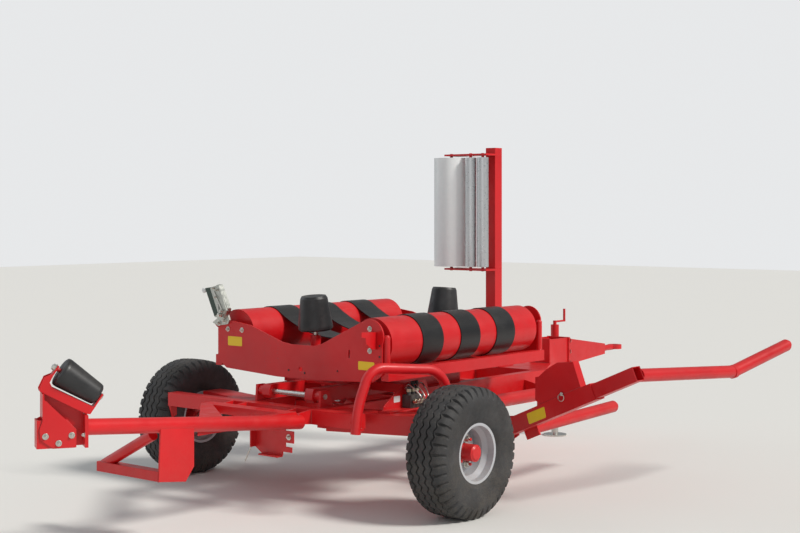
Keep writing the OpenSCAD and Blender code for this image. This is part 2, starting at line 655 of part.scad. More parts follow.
// One closed line along the belt, off from its middle: outwards is positive
function wrap_point(i, s, off) = let (a = -90 + (180 + leave) * i / wrap_n)
    [s * (roller_gap / 2 + (belt_r + off) * cos(a)), roller_z + (belt_r + off) * sin(a)];
function sag_point(i, off) = let (a = leave * (1 - 2 * i / sag_n))
    [(sag_r - off) * sin(a), sag_z - (sag_r - off) * cos(a)];
function belt_line(off) = concat(
    [for (i = [0:wrap_n]) wrap_point(i, 1, off)],
    [for (i = [1:sag_n - 1]) sag_point(i, off)],
    [for (i = [wrap_n:-1:0]) wrap_point(i, -1, off)]
);
module belt_loop() {
    difference() {
        polygon(belt_line(belt_t / 2));
        polygon(belt_line(-belt_t / 2));
    }
}
module belts() {
    color("black") placed() for (i = [-1:1])
        across(table_x + i * belt_pitch - belt_w / 2, belt_w) belt_loop();
}
module roller_motor() {
    color("gray") placed() {
        pin_x(plate_front_x + plate_t, roller_gap / 2, roller_z, 60, 90);
        pin_x(plate_front_x + plate_t + 60, roller_gap / 2, roller_z, 16, 60);
    }
}

cone_x = 598;
cone_lean = 5;
cone_foot_z = 950;
module table_cone(s) {
    color("black") placed() translate([table_x + s * cone_x, 0, cone_foot_z]) rotate([0, s * cone_lean, 0])
        difference() {
            rotate_extrude($fn = 64) polygon([
                [0, 0], [cone_d / 2 - 12, 0], [cone_d / 2 - 2, 10], [cone_d / 2 - 2, 24],
                [cone_d / 2 - 24, cone_h - 14], [cone_d / 2 - 32, cone_h], [0, cone_h]
            ]);
            translate([0, 0, -1]) cylinder(h = cone_h - 10, d = 24 + 2 * run_fit);
        }
}
module cone_rear() { table_cone(-1); }
module cone_front() { table_cone(1); }

module cut_and_hold() {
    color(steel) placed() {
        // foot bolted on the end plate, and the leaning body of the device
        across(plate_rear_x - 12, 12) polygon([
            [560, 966], [600, 960], [650, 952], [694, 970], [654, 996], [644, 1024], [566, 1030], [545, 990]
        ]);
        across(plate_rear_x - 44, 32.1) polygon([
            [570, 1000], [533, 1042], [530, 1063], [599, 1196], [606, 1204], [649, 1189], [724, 1178], [641, 1006]
        ]);
        across(plate_rear_x - 52, 8.1) polygon([[560, 1020], [528, 1050], [597, 1196], [648, 1190], [672, 1178], [602, 1030]]);
    }
}

// LOADER
// Centre line of the loader beam in the plane across the machine: distance right of the centre line, height
loader_x = 712;
beam_in = [850, 375];
beam_out = [1448, 637];
slide_out = [1716, 749];
beam_angle = atan2(beam_out[1] - beam_in[1], beam_out[0] - beam_in[0]);
beam_len = norm(beam_out - beam_in);
slide_s = beam_s - 2 * beam_t - 2 * face_gap;
module on_beam() { translate([loader_x, -beam_in[0], beam_in[1]]) rotate([-beam_angle, 0, 0]) children(); }
module loader_arm() {
    color(red) placed() difference() {
        union() {
            // box beam
            on_beam() block([0, -beam_len, -beam_s / 2], [beam_s, 0, beam_s / 2]);
            // cranked root from the beam up to the pivot hub
            for (x = [loader_x - 12, loader_x + beam_s]) across(x, 12) polygon([
                [-beam_in[0] - 25, beam_in[1] + 66], [-beam_in[0] - 25, beam_in[1] - 50], [-beam_in[0] + 40, beam_in[1] - 96],
                [-600, 262], [-540, 272], [lift_eye[0] - 24, lift_eye[1] - 28], [lift_eye[0] + 24, lift_eye[1] - 28],
                [-loader_y + 30, loader_z - 60], [-loader_y + 62, loader_z], [-loader_y + 20, loader_z + 62],
                [-loader_y - 66, loader_z + 40], [-560, 400]
            ]);
            on_beam() block([0, -40, -beam_s / 2], [beam_s, 60, beam_s / 2 - 10]);
            across(loader_x, beam_s) polygon([
                [-beam_in[0] + 30, beam_in[1] - 90], [-640, 276], [-560, 284], [-560, 304],
                [-640, 310], [-beam_in[0] + 60, beam_in[1] - 24]
            ]);
            // hub on the pivot tube
            pin_x(loader_x - 40, -loader_y, loader_z, beam_s + 80, pivot_d + 34);
            // back-stop panel with flanged edges
            across(loader_x + 4, 10) polygon(panel_points);
            across(loader_x + 4, 60) polygon([
                [-1300, 792], [-1314, 796], [-1369, 650], [-1355, 645]
            ]);
            across(loader_x + 4, 60) polygon([
                [-1080, 694], [-1058, 688], [-1058, 560], [-1080, 540]
            ]);
        }
        // inside of the beam
        on_beam() block([beam_t, -beam_len - 1, -beam_s / 2 + beam_t], [beam_s - beam_t, -20, beam_s / 2 - beam_t]);
        pin_x(loader_x - 80, -loader_y, loader_z, beam_s + 160, pivot_d + 2 * run_fit);
    }
    // pin heads of the lift rod on the root plates; this pivot is left open, so no pin goes through
    color(steel) placed() for (x = [loader_x - 20, loader_x + beam_s + 12])
        pin_x(x, lift_eye[0], lift_eye[1], 8, 40);
}
// Outline of the back-stop panel, from the photograph: distance to the left, height
panel_points = [
    [-1071, 520], [-1071, 684], [-1135, 740], [-1210, 783], [-1308, 793], [-1362, 650], [-1350, 600], [-1200, 530]
];
module prong_inner() {
    root = [loader_x + beam_s, -960, 372];
    tip = [1770, -925, 400];
    color(red) placed() {
        on_beam() block([beam_s, -150, -100], [beam_s + 12, -52, 40]);
        spike(root + [4, 0, 0], tip + [30, 0, 0], prong_d);
    }
}
module loader_slide() {
    reach = norm(slide_out - beam_in);
    color(red) placed() on_beam() difference() {
        block([beam_s / 2 - slide_s / 2, -reach, -slide_s / 2], [beam_s / 2 + slide_s / 2, -beam_len + 260, slide_s / 2]);
        block([beam_s / 2 - slide_s / 2 + 6, -reach - 1, -slide_s / 2 + 6], [beam_s / 2 + slide_s / 2 - 6, -beam_len + 240, slide_s / 2 - 6]);
    }
}
module prong_outer() {
    face = loader_x + beam_s / 2 + slide_s / 2;
    root = [face - 40, -1685, 740];
    bend = [1700, -1800, 690];
    tip = [2300, -1870, 815];
    dir_in = (bend - root) / norm(bend - root);
    dir_out = (tip - bend) / norm(tip - bend);
    ring = (dir_in + dir_out) / norm(dir_in + dir_out) * 15;
    color(red) placed() difference() {
        union() {
            rod(root, bend, prong_d);
            spike(bend, tip, prong_d);
            // welded ring over the joint of the two tubes
            rod(bend - ring, bend + ring, prong_d + 6);
        }
        block([face - 200, -1900, 500], [face, -1500, 1000]);
    }
}

// Cylinders: pins at both ends; the rod's eye is the end that is left open
lift_x = loader_x + beam_s / 2;
lift_w = 50;
lift_base = [-30, 280];
lift_eye = [-loader_y - 40, loader_z - 140];
lift_d = 64;
lift_rod_d = 36;
lift_body_l = 278;
neck_l = 56;
module cylinder_body(p, q, body_l, d, rod_d, w) {
    // from the pin p towards q: a neck, then the barrel, whose bore takes the rod
    dir = (q - p) / norm(q - p);
    difference() {
        union() {
            rod(p, p + dir * (neck_l + 2), w - 8);
            rod(p + dir * neck_l, p + dir * (neck_l + body_l), d);
        }
        rod(p + dir * (neck_l + 12), p + dir * (neck_l + body_l + 1), rod_d + 2 * run_fit);
    }
}
lift_p = [lift_x, lift_base[0], lift_base[1]];
lift_q = [lift_x, lift_eye[0], lift_eye[1]];
module loader_cylinder() {
    color(red) placed() difference() {
        union() {
            cylinder_body(lift_p, lift_q, lift_body_l, lift_d, lift_rod_d, lift_w);
            pin_x(lift_x - lift_w / 2, lift_p[1], lift_p[2], lift_w, 52);
        }
        pin_x(lift_x - lift_w, lift_p[1], lift_p[2], 2 * lift_w, 24 + 2 * run_fit);
    }
}
module loader_rod() {
    dir = (lift_q - lift_p) / norm(lift_q - lift_p);
    color(steel) placed() difference() {
        union() {
            rod(lift_p + dir * 120, lift_q, lift_rod_d);
            pin_x(lift_x - lift_w / 2, lift_q[1], lift_q[2], lift_w, 56);
        }
        pin_x(lift_x - lift_w, lift_q[1], lift_q[2], 2 * lift_w, 24);
    }
}

tilt_base = [660, 350];
tilt_eye = [120, 572];
tilt_cyl_w = 50;
tilt_cyl_d = 70;
tilt_rod_d = 40;
tilt_body_l = 408;
module tilt_cylinder() {
    p = [tilt_base[0], 0, tilt_base[1]];
    q = [tilt_eye[0], 0, tilt_eye[1]];
    color(red) placed() difference() {
        union() {
            cylinder_body(p, q, tilt_body_l, tilt_cyl_d, tilt_rod_d, tilt_cyl_w);
            pin_y(p[0], -tilt_cyl_w / 2, p[2], tilt_cyl_w, 54);
        }
        pin_y(p[0], -tilt_cyl_w, p[2], 2 * tilt_cyl_w, 24 + 2 * run_fit);
    }
}
module tilt_rod() {
    run = [tilt_base[0] - tilt_eye[0], tilt_base[1] - tilt_eye[1]];
    reach = norm(run);
    // drawn from the eye towards the barrel
    color(steel) placed() translate([tilt_eye[0], 0, tilt_eye[1]]) rotate([0, atan2(-run[1], run[0]), 0]) difference() {
        union() {
            rotate([0, 90, 0]) translate([0, 0, 90]) cylinder(h = reach - 250, d = tilt_rod_d);
            block([84, -30, -24], [104, 30, 24]);
            for (y = [-30, 15 + face_gap]) {
                block([0, y, -24], [86, y + 15 - face_gap, 24]);
                pin_y(0, y, 0, 15 - face_gap, 48);
            }
            // pin heads; this pivot is left open, so no pin goes through
            for (y = [-38, 30]) pin_y(0, y, 0, 8, 34);
        }
    }
}

// REAR ARM
arm_y = -300;
arm_rise = 5.5;
arm_front = [-440, 489];
arm_end = arm_front[0] - arm_l;
end_z = arm_front[1] + arm_l * tan(arm_rise);
// The bracket at the end of the arm is turned about the vertical by this angle
end_turn = 30;
end_plate_x = [-2, 14];
end_w = 100;
latch_x = -478;
// Works from the bracket's near side plate: along the plate, away from it, height over the arm's end
module on_end() { translate([arm_end - 42, arm_y - 45, end_z]) rotate([0, 0, -end_turn]) children(); }
module arm_tube() {
    difference() {
        on_arm() rotate([0, -90, 0]) cylinder(h = arm_l + 40, d = arm_d);
        on_end() block([-200, -100, -140], [end_plate_x[1], 200, 140]);
    }
}
module on_arm() { translate([arm_front[0], arm_y, arm_front[1]]) rotate([0, arm_rise, 0]) children(); }
module rear_arm() {
    color(red) placed() difference() {
        union() {
            // tube along the machine
            arm_tube();
            // cross member and diagonal brace, cut from one thick plate with a triangular window
            difference() {
                flat(hinge_z + 2, 46) polygon([
                    [-1190, arm_y], [-560, 370], [-470, 370], [-470, arm_y]
                ]);
                flat(hinge_z, 60) polygon([[-950, arm_y + 46], [-560, arm_y + 46], [-560, 270]]);
            }
            // folded latch bracket under the front end
            across(latch_x, 8) polygon([
                [-50, hinge_z + 4], [14, hinge_z + 4], [14, 330], [-50, 290], [-200, 300], [-200, 321], [-222, 345],
                [-222, 439], [-200, hinge_z + 4]
            ]);
            for (z = [[373, 439], [321, 350]]) block([latch_x, -224 - (z[0] > 360 ? 60 : 46), z[0]], [latch_x + 8, -196, z[1]]);
            block([latch_x - 40, -200, 292], [latch_x + 4, -52, 300]);
            block([latch_x - 40, 6, 330], [latch_x + 4, 14, hinge_z + 4]);
            // knuckles between the lugs
            for (h = hinge_y) {
                pin_y(hinge_x, h - lug_gap / 2 + 1, hinge_z, lug_gap - 2, 54);
                block([-500, h - lug_gap / 2 + 1, hinge_z - 10], [hinge_x, h + lug_gap / 2 - 1, hinge_z + 27]);
            }
        }
        for (h = hinge_y) pin_y(hinge_x, h - lug_gap, hinge_z, 2 * lug_gap, hinge_pin_d + 2 * run_fit);
    }
}
module arm_foot() {
    foot_y = arm_y - 36;
    color(red) placed() difference() {
        union() {
            along(foot_y, 10) polygon([
                [-1462, 586], [-1245, 564], [-1245, 360], [-1300, 290], [-1475, 312]
            ]);
            block([-1475, foot_y + 10 - eps, 312], [-1415, 150, 362]);
            rod([-1445, arm_y + 44, 534], [-1445, 124, 345], 56);
        }
        on_arm() rotate([0, -90, 0]) cylinder(h = arm_l, d = arm_d);
    }
}
// Height of the holder's underside over the arm's end, along the bracket
function holder_low(x) = 179.5 - 0.533 * (x + 203) - face_gap;
module arm_bracket() {
    color(red) placed() on_end() {
        // bolted side plate, the box side behind it, and the web under the holder
        along(-8, 8) polygon([
            [-208, 7], [-203, -42], [-146, -83], [-40, -83], [-40, -2], [-176, 136], [-194, 147], [-194, 46]
        ]);
        along(0, 8) polygon([[-220, -84], [-220, 48], [-80, 48], [-40, -2], [-40, -84]]);
        along(60, 8) polygon([[-220, -84], [-220, 48], [-194, 60], [-194, holder_low(-194)], [0, holder_low(0)], [0, -84]]);
        // rear flanges and the plate on the tube
        block([-220, 0, -84], [-212, end_w - 6, 48]);
        block([-194, -8, 40], [-186, end_w, holder_low(-186)]);
        block([end_plate_x[0], -20, -86], [end_plate_x[1], end_w, holder_low(end_plate_x[1])]);
    }
}
// The holder and its cone: place of the cone's middle on the bracket, tilt of its axis
holder_at = [-18.5, 50, 208];
holder_tilt = 34.5;
holder_half = 30;
module on_holder() { on_end() translate(holder_at) rotate([0, holder_tilt, 0]) children(); }
// Side view of the holder: along the cone's axis, up from it
holder_side = [
    [-134, -30], [-155, -60], [-146, -119], [-136, -128], [104, -101], [120, -90], [120, -56], [108, -57],
    [-100, -82], [-122, -69], [-126, -36]
];
module cone_holder() {
    color(red) placed() on_holder() {
        for (y = [-holder_half, holder_half - 6]) along(y, 6) polygon(holder_side);
        along(-holder_half, 2 * holder_half) polygon([
            [-136, -128], [104, -101], [120, -92], [120, -84], [104, -93], [-134, -120]
        ]);
        block([-134, -holder_half, -124], [-126, holder_half, 16]);
        block([112, -holder_half, -92], [120, holder_half, 16]);
        translate([-142, 0, 0]) rotate([0, 90, 0]) cylinder(h = 270, d = 20);
    }
}
module arm_cone() {
    color("black") placed() on_holder() translate([-110, 0, 0]) rotate([0, 90, 0])
        rotate_extrude($fn = 64) polygon([
            [10 + run_fit, 0], [60, 0], [69, 5], [72, 14], [72, 24], [53, 200], [50, 210], [42, 216], [10 + run_fit, 216]
        ]);
}

main_frame();
rear_beam();
axle_arms();
wheel_spindles();
drawbar();
guard_hoop();
loader_pivot();
tilt_shaft();
valve_plate();
valve_block();
film_mast();
film_carrier();
jack_sleeve();
jack_leg();
tyre_left();
tyre_right();
rim_left();
rim_right();
hub_left();
hub_right();
tilt_frame();
turn_motor();
table_frame();
side_rails();
cone_posts();
end_plate_rear();
end_plate_front();
roller_left();
roller_right();
roller_motor();
belts();
cone_rear();
cone_front();
cut_and_hold();
loader_arm();
prong_inner();
loader_slide();
prong_outer();
loader_cylinder();
loader_rod();
tilt_cylinder();
tilt_rod();
rear_arm();
arm_foot();
arm_bracket();
cone_holder();
arm_cone();
film_roll();
stretch_roller_a();
stretch_roller_b();
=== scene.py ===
"""Looks of the bale wrapper: materials, rolled edges, tyres, fasteners, stickers and fittings."""
import json
import math

import bmesh
import bpy
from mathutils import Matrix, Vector

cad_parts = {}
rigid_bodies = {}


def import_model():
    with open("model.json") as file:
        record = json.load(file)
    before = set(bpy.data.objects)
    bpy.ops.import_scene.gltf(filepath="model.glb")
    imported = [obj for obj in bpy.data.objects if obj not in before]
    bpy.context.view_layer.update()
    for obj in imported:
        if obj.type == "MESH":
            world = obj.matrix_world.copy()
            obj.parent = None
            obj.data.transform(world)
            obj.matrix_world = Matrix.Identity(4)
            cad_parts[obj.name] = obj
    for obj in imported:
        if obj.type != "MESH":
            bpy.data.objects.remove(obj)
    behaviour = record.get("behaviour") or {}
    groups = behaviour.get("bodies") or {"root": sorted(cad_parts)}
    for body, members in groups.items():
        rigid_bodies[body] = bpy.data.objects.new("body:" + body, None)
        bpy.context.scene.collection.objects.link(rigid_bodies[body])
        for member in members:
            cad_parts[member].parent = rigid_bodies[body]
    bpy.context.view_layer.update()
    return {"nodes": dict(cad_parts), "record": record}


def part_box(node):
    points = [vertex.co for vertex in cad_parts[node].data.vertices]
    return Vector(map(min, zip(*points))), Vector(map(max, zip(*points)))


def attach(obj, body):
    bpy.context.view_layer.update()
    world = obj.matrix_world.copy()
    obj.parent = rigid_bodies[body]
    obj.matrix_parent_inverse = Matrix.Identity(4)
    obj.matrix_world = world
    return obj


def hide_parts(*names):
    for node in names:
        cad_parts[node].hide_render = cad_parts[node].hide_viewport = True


for leftover in list(bpy.data.objects):
    bpy.data.objects.remove(leftover)
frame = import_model()

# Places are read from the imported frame. Lengths are in metres.
TYRE_LOW, TYRE_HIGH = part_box("tyre_right")
AXLE_X = (TYRE_LOW.x + TYRE_HIGH.x) / 2
GROUND = TYRE_LOW.z
TYRE_R = (TYRE_HIGH.z - TYRE_LOW.z) / 2
TYRE_W = TYRE_HIGH.y - TYRE_LOW.y
WHEEL_Y = -(TYRE_LOW.y + TYRE_HIGH.y) / 2
REAR_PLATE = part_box("end_plate_rear")[0].x - AXLE_X
FRONT_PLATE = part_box("end_plate_front")[1].x - AXLE_X
DRAWBAR_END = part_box("drawbar")[0].x - AXLE_X
BACK, FRONT, UP, RIGHT = (-1, 0, 0), (1, 0, 0), (0, 0, 1), (0, -1, 0)
SIDES = ((1, "left"), (-1, "right"))


def at(x, y, z):
    """A point given forward of the axle, left of the centre line and above the ground."""
    return Vector((AXLE_X + x, y, GROUND + z))


def across(x, points):
    """Points at one distance forward, each given as (left, up)."""
    return [at(x, y, z) for y, z in points]


def lengthwise(y, points):
    """Points at one distance left, each given as (forward, up)."""
    return [at(x, y, z) for x, z in points]


def level(z, points):
    """Points at one height, each given as (forward, left)."""
    return [at(x, y, z) for x, y in points]


# Shading helpers.
def new_material(name):
    mat = bpy.data.materials.new(name)
    mat.use_nodes = True
    tree = mat.node_tree
    tree.nodes.clear()
    out = tree.nodes.new("ShaderNodeOutputMaterial")
    bsdf = tree.nodes.new("ShaderNodeBsdfPrincipled")
    tree.links.new(bsdf.outputs["BSDF"], out.inputs["Surface"])
    return mat, tree, bsdf


def coordinates(tree):
    return tree.nodes.new("ShaderNodeTexCoord").outputs["Object"]


def add(tree, kind, **inputs):
    node = tree.nodes.new(kind)
    for key, value in inputs.items():
        node.inputs[key.replace("_", " ")].default_value = value
    return node


def noise(tree, coords, scale, detail=3.0, rough=0.55):
    node = add(tree, "ShaderNodeTexNoise", Scale=scale, Detail=detail, Roughness=rough)
    tree.links.new(coords, node.inputs["Vector"])
    return node.outputs["Fac"]


def ramp(tree, value, low, high, to_low=0.0, to_high=1.0):
    """The value stretched from low..high to to_low..to_high."""
    node = add(tree, "ShaderNodeMapRange", From_Min=low, From_Max=high,
               To_Min=to_low, To_Max=to_high)
    tree.links.new(value, node.inputs["Value"])
    return node.outputs["Result"]


def blend_colour(tree, factor, a, b):
    """Colour a where the factor is 0, colour b where it is 1."""
    node = tree.nodes.new("ShaderNodeMix")
    node.data_type = "RGBA"
    tree.links.new(factor, node.inputs[0])
    for socket, value in ((node.inputs[6], a), (node.inputs[7], b)):
        if isinstance(value, tuple):
            socket.default_value = (*value, 1.0)
        else:
            tree.links.new(value, socket)
    return node.outputs[2]


def maths(tree, operation, a, b):
    node = tree.nodes.new("ShaderNodeMath")
    node.operation = operation
    for socket, value in ((node.inputs[0], a), (node.inputs[1], b)):
        if isinstance(value, (int, float)):
            socket.default_value = value
        else:
            tree.links.new(value, socket)
    return node.outputs[0]


def cover_group(name, amount):
    """A shader group with one number in and a cover out, and the coordinates inside it."""
    group = bpy.data.node_groups.new(name, "ShaderNodeTree")
    group.interface.new_socket(amount, in_out="INPUT", socket_type="NodeSocketFloat")
    group.interface.new_socket("Cover", in_out="OUTPUT", socket_type="NodeSocketFloat")
    return group, coordinates(group)


def give_cover(group, value):
    """Sends the value times the group's number out as its cover."""
    ins = group.nodes.new("NodeGroupInput")
    outs = group.nodes.new("NodeGroupOutput")
    group.links.new(maths(group, "MULTIPLY", value, ins.outputs[0]), outs.inputs["Cover"])
    return group


def dust_group():
    """Dust that settles on upward faces and is thrown up near the ground."""
    group, coords = cover_group("settled_dust", "Strength")
    normal = group.nodes.new("ShaderNodeNewGeometry").outputs["Normal"]
    up = group.nodes.new("ShaderNodeSeparateXYZ")
    group.links.new(normal, up.inputs[0])
    place = group.nodes.new("ShaderNodeSeparateXYZ")
    group.links.new(coords, place.inputs[0])
    flat = ramp(group, up.outputs[2], 0.35, 1.0, 0.0, 0.55)
    low = ramp(group, place.outputs[2], GROUND + 0.75, GROUND + 0.05, 0.0, 0.8)
    patches = noise(group, coords, scale=9.0, detail=5.0, rough=0.65)
    specks = noise(group, coords, scale=130.0, detail=2.0)
    mask = ramp(group, maths(group, "MULTIPLY", patches, specks), 0.16, 0.36)
    return give_cover(group, maths(group, "MULTIPLY", maths(group, "ADD", flat, low), mask))


def scuff_group():
    """Small chips in patches where things rub, and long faint scratches."""
    group, coords = cover_group("scuffs", "Amount")
    stretch = add(group, "ShaderNodeMapping", Scale=(0.12, 1.0, 1.0), Rotation=(0.1, 0.3, 0.2))
    group.links.new(coords, stretch.inputs["Vector"])
    worn = ramp(group, noise(group, coords, scale=3.1), 0.56, 0.66)
    chips = ramp(group, noise(group, coords, scale=75.0, rough=0.7), 0.62, 0.66)
    scratches = noise(group, stretch.outputs["Vector"], scale=150.0, detail=2.0)
    lines = ramp(group, scratches, 0.68, 0.74, 0.0, 0.35)
    return give_cover(group, maths(group, "MULTIPLY", maths(group, "ADD", chips, lines), worn))


DUST = dust_group()
SCUFFS = scuff_group()
DUST_COLOUR = (0.36, 0.28, 0.18)


def covered(tree, group, amount):
    """How far dust or scuffs cover the surface, from 0 to 1."""
    node = tree.nodes.new("ShaderNodeGroup")
    node.node_tree = group
    node.inputs[0].default_value = amount
    return node.outputs["Cover"]


def dusted(tree, bsdf, base, strength):
    """Lays dust over the base colour and gives the dust's cover."""
    cover = covered(tree, DUST, strength)
    tree.links.new(blend_colour(tree, cover, base, DUST_COLOUR), bsdf.inputs["Base Color"])
    return cover


def roughened(tree, bsdf, coords, scale, low, high):
    uneven = ramp(tree, noise(tree, coords, scale), 0.3, 0.7, low, high)
    tree.links.new(uneven, bsdf.inputs["Roughness"])


def bumped(tree, bsdf, height, strength, distance):
    bump = add(tree, "ShaderNodeBump", Strength=strength, Distance=distance)
    tree.links.new(height, bump.inputs["Height"])
    tree.links.new(bump.outputs["Normal"], bsdf.inputs["Normal"])


def painted(name, colour, rough, coat, dust, drift=0.12, worn=0.5):
    """Gloss paint with slow colour drift, chips, scratches, a fine orange-peel skin and dust."""
    mat, tree, bsdf = new_material(name)
    coords = coordinates(tree)
    darker = tuple(c * (1 - drift) for c in colour)
    lighter = tuple(min(1.0, c * (1 + drift)) for c in colour)
    primer = tuple(0.25 * c + 0.06 for c in colour)
    base = blend_colour(tree, ramp(tree, noise(tree, coords, scale=2.3), 0.3, 0.7), darker, lighter)
    base = blend_colour(tree, covered(tree, SCUFFS, worn), base, primer)
    cover = dusted(tree, bsdf, base, dust)
    blotches = noise(tree, coords, scale=14.0, detail=4.0)
    uneven = ramp(tree, blotches, 0.3, 0.7, rough * 0.8, rough * 1.3)
    dull = maths(tree, "ADD", uneven, maths(tree, "MULTIPLY", cover, 0.5))
    tree.links.new(dull, bsdf.inputs["Roughness"])
    bsdf.inputs["Coat Weight"].default_value = coat
    bsdf.inputs["Coat Roughness"].default_value = 0.12
    peel = noise(tree, coords, scale=420.0, detail=1.0)
    bumped(tree, bsdf, peel, strength=0.06, distance=0.0006)
    return mat


def metal(name, colour, rough, dust=0.1, grain=300.0, stained=0.2, depth=0.08):
    """Bare or plated metal with faint stains."""
    mat, tree, bsdf = new_material(name)
    coords = coordinates(tree)
    stain = ramp(tree, noise(tree, coords, scale=22.0, detail=4.0), 0.35, 0.75, 0.0, stained)
    dusted(tree, bsdf, blend_colour(tree, stain, colour, tuple(c * 0.55 for c in colour)), dust)
    bsdf.inputs["Metallic"].default_value = 1.0
    roughened(tree, bsdf, coords, 60.0, rough * 0.75, rough * 1.35)
    bumped(tree, bsdf, noise(tree, coords, grain, detail=2.0), depth, distance=0.0005)
    return mat


def rubber(name, colour, rough, dust, grain=260.0, depth=0.001):
    """Moulded rubber or plastic, paler where it is worn."""
    mat, tree, bsdf = new_material(name)
    coords = coordinates(tree)
    worn = ramp(tree, noise(tree, coords, scale=6.0, detail=5.0), 0.35, 0.7)
    paler = tuple(min(1, c * 1.8 + 0.01) for c in colour)
    dusted(tree, bsdf, blend_colour(tree, worn, colour, paler), dust)
    roughened(tree, bsdf, coords, 35.0, rough - 0.1, rough + 0.12)
    bumped(tree, bsdf, noise(tree, coords, grain), strength=0.25, distance=depth)
    return mat


def belt_material():
    """Rubber with a fine square weave pressed into its face."""
    mat, tree, bsdf = new_material("belt_rubber")
    coords = coordinates(tree)
    waves = []
    for axis in ("X", "Y"):
        wave = add(tree, "ShaderNodeTexWave", Scale=110.0, Distortion=0.4)
        wave.bands_direction = axis
        tree.links.new(coords, wave.inputs["Vector"])
        waves.append(wave.outputs["Fac"])
    weave = maths(tree, "MULTIPLY", *waves)
    scuff = ramp(tree, noise(tree, coords, scale=5.0, detail=6.0, rough=0.7), 0.45, 0.8, 0.0, 0.6)
    base = blend_colour(tree, scuff, (0.007, 0.007, 0.008), (0.028, 0.027, 0.026))
    dusted(tree, bsdf, base, 0.08)
    tree.links.new(ramp(tree, scuff, 0.0, 0.6, 0.34, 0.55), bsdf.inputs["Roughness"])
    bumped(tree, bsdf, weave, strength=0.15, distance=0.0008)
    return mat


def film_material():
    """White stretch film: glossy and slightly uneven."""
    mat, tree, bsdf = new_material("wound_film")
    bands = noise(tree, coordinates(tree), scale=30.0, detail=4.0)
    white = blend_colour(tree, bands, (0.82, 0.85, 0.86), (0.90, 0.92, 0.92))
    tree.links.new(white, bsdf.inputs["Base Color"])
    bsdf.inputs["Roughness"].default_value = 0.22
    bsdf.inputs["Coat Weight"].default_value = 0.4
    bumped(tree, bsdf, bands, strength=0.1, distance=0.002)
    return mat


RED = painted("red_paint", (0.60, 0.004, 0.008), rough=0.40, coat=0.10, dust=0.10)
PLASTIC = rubber("cone_plastic", (0.012, 0.012, 0.013), rough=0.42, dust=0.2, grain=500.0,
                 depth=0.0004)
BRIGHT = metal("bright_steel", (0.62, 0.61, 0.58), rough=0.32)
MATERIALS = {
    "red_paint": RED,
    "black_rubber": belt_material(),
    "tyre_rubber": rubber("tyre_rubber", (0.021, 0.021, 0.0225), rough=0.70, dust=0.13),
    "bright_steel": BRIGHT,
    "silver_paint": painted("silver_paint", (0.44, 0.45, 0.48), rough=0.36, coat=0.15, dust=0.35,
                            drift=0.08),
    "grey_iron": painted("grey_iron", (0.055, 0.055, 0.06), rough=0.5, coat=0.1, dust=0.4),
    "black_plastic": PLASTIC,
    "zinc_plate": metal("zinc_plate", (0.55, 0.56, 0.52), rough=0.38),
    "chrome_rod": metal("chrome_rod", (0.78, 0.78, 0.79), rough=0.12, dust=0.05, grain=600.0),
    "film_plastic": film_material(),
    "aluminium_roller": metal("aluminium_roller", (0.70, 0.71, 0.72), rough=0.32, dust=0.03,
                              grain=40.0, stained=0.05, depth=0.02),
}
STEEL = metal("fastener_zinc", (0.66, 0.65, 0.60), rough=0.3)
YELLOW = painted("sticker_yellow", (0.86, 0.60, 0.01), rough=0.4, coat=0.1, dust=0.12, drift=0.05)
WHITE = painted("sticker_white", (0.72, 0.74, 0.74), rough=0.4, coat=0.1, dust=0.1, drift=0.04)
BRASS = metal("fitting_zinc", (0.60, 0.56, 0.42), rough=0.35)
WELD = painted("weld_paint", (0.50, 0.010, 0.016), rough=0.42, coat=0.2, dust=0.2)
DARK_PLATE = painted("dark_green_plate", (0.030, 0.055, 0.042), rough=0.45, coat=0.1, dust=0.15)


# Mesh helpers. Faces that meet at more than the smooth angle, in degrees, keep a sharp edge.
SMOOTH = 32.0
SAME_POINT, SAME_PLANE = 0.00002, math.radians(0.6)


def shaded(mesh, material, smooth=SMOOTH):
    mesh.materials.clear()
    mesh.materials.append(material)
    mesh.polygons.foreach_set("use_smooth", [True] * len(mesh.polygons))
    mesh.set_sharp_from_angle(angle=math.radians(smooth))


def placed(name, data):
    """A new object in the scene."""
    obj = bpy.data.objects.new(name, data)
    bpy.context.scene.collection.objects.link(obj)
    return obj


def finished(name, mesh, material, body, smooth=SMOOTH):
    shaded(mesh, material, smooth)
    obj = placed(name, mesh)
    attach(obj, body)
    return obj


def piece(name, verts, faces, material, body, smooth=SMOOTH):
    mesh = bpy.data.meshes.new(name)
    mesh.from_pydata([tuple(v) for v in verts], [], faces)
    mesh.validate()
    bm = bmesh.new()
    bm.from_mesh(mesh)
    bmesh.ops.recalc_face_normals(bm, faces=bm.faces)
    bm.to_mesh(mesh)
    bm.free()
    return finished(name, mesh, material, body, smooth)


def applied(obj):
    """The object's mesh with its modifiers applied."""
    graph = bpy.context.evaluated_depsgraph_get()
    return bpy.data.meshes.new_from_object(obj.evaluated_get(graph), depsgraph=graph)


def body_of_node(node_name):
    for body, members in frame["record"]["behaviour"]["bodies"].items():
        if node_name in members:
            return body


def whole_faces(mesh):
    """The mesh as a bmesh, with its triangles joined into the flat faces they come from."""
    bm = bmesh.new()
    bm.from_mesh(mesh)
    bmesh.ops.remove_doubles(bm, verts=bm.verts, dist=SAME_POINT)
    bmesh.ops.dissolve_limit(bm, angle_limit=SAME_PLANE, verts=bm.verts, edges=bm.edges)
    return bm


slot_of = {part["node"]: part["material_slot"] for part in frame["record"]["subparts"]}
for node_name, node in frame["nodes"].items():
    shaded(node.data, MATERIALS[slot_of[node_name]])


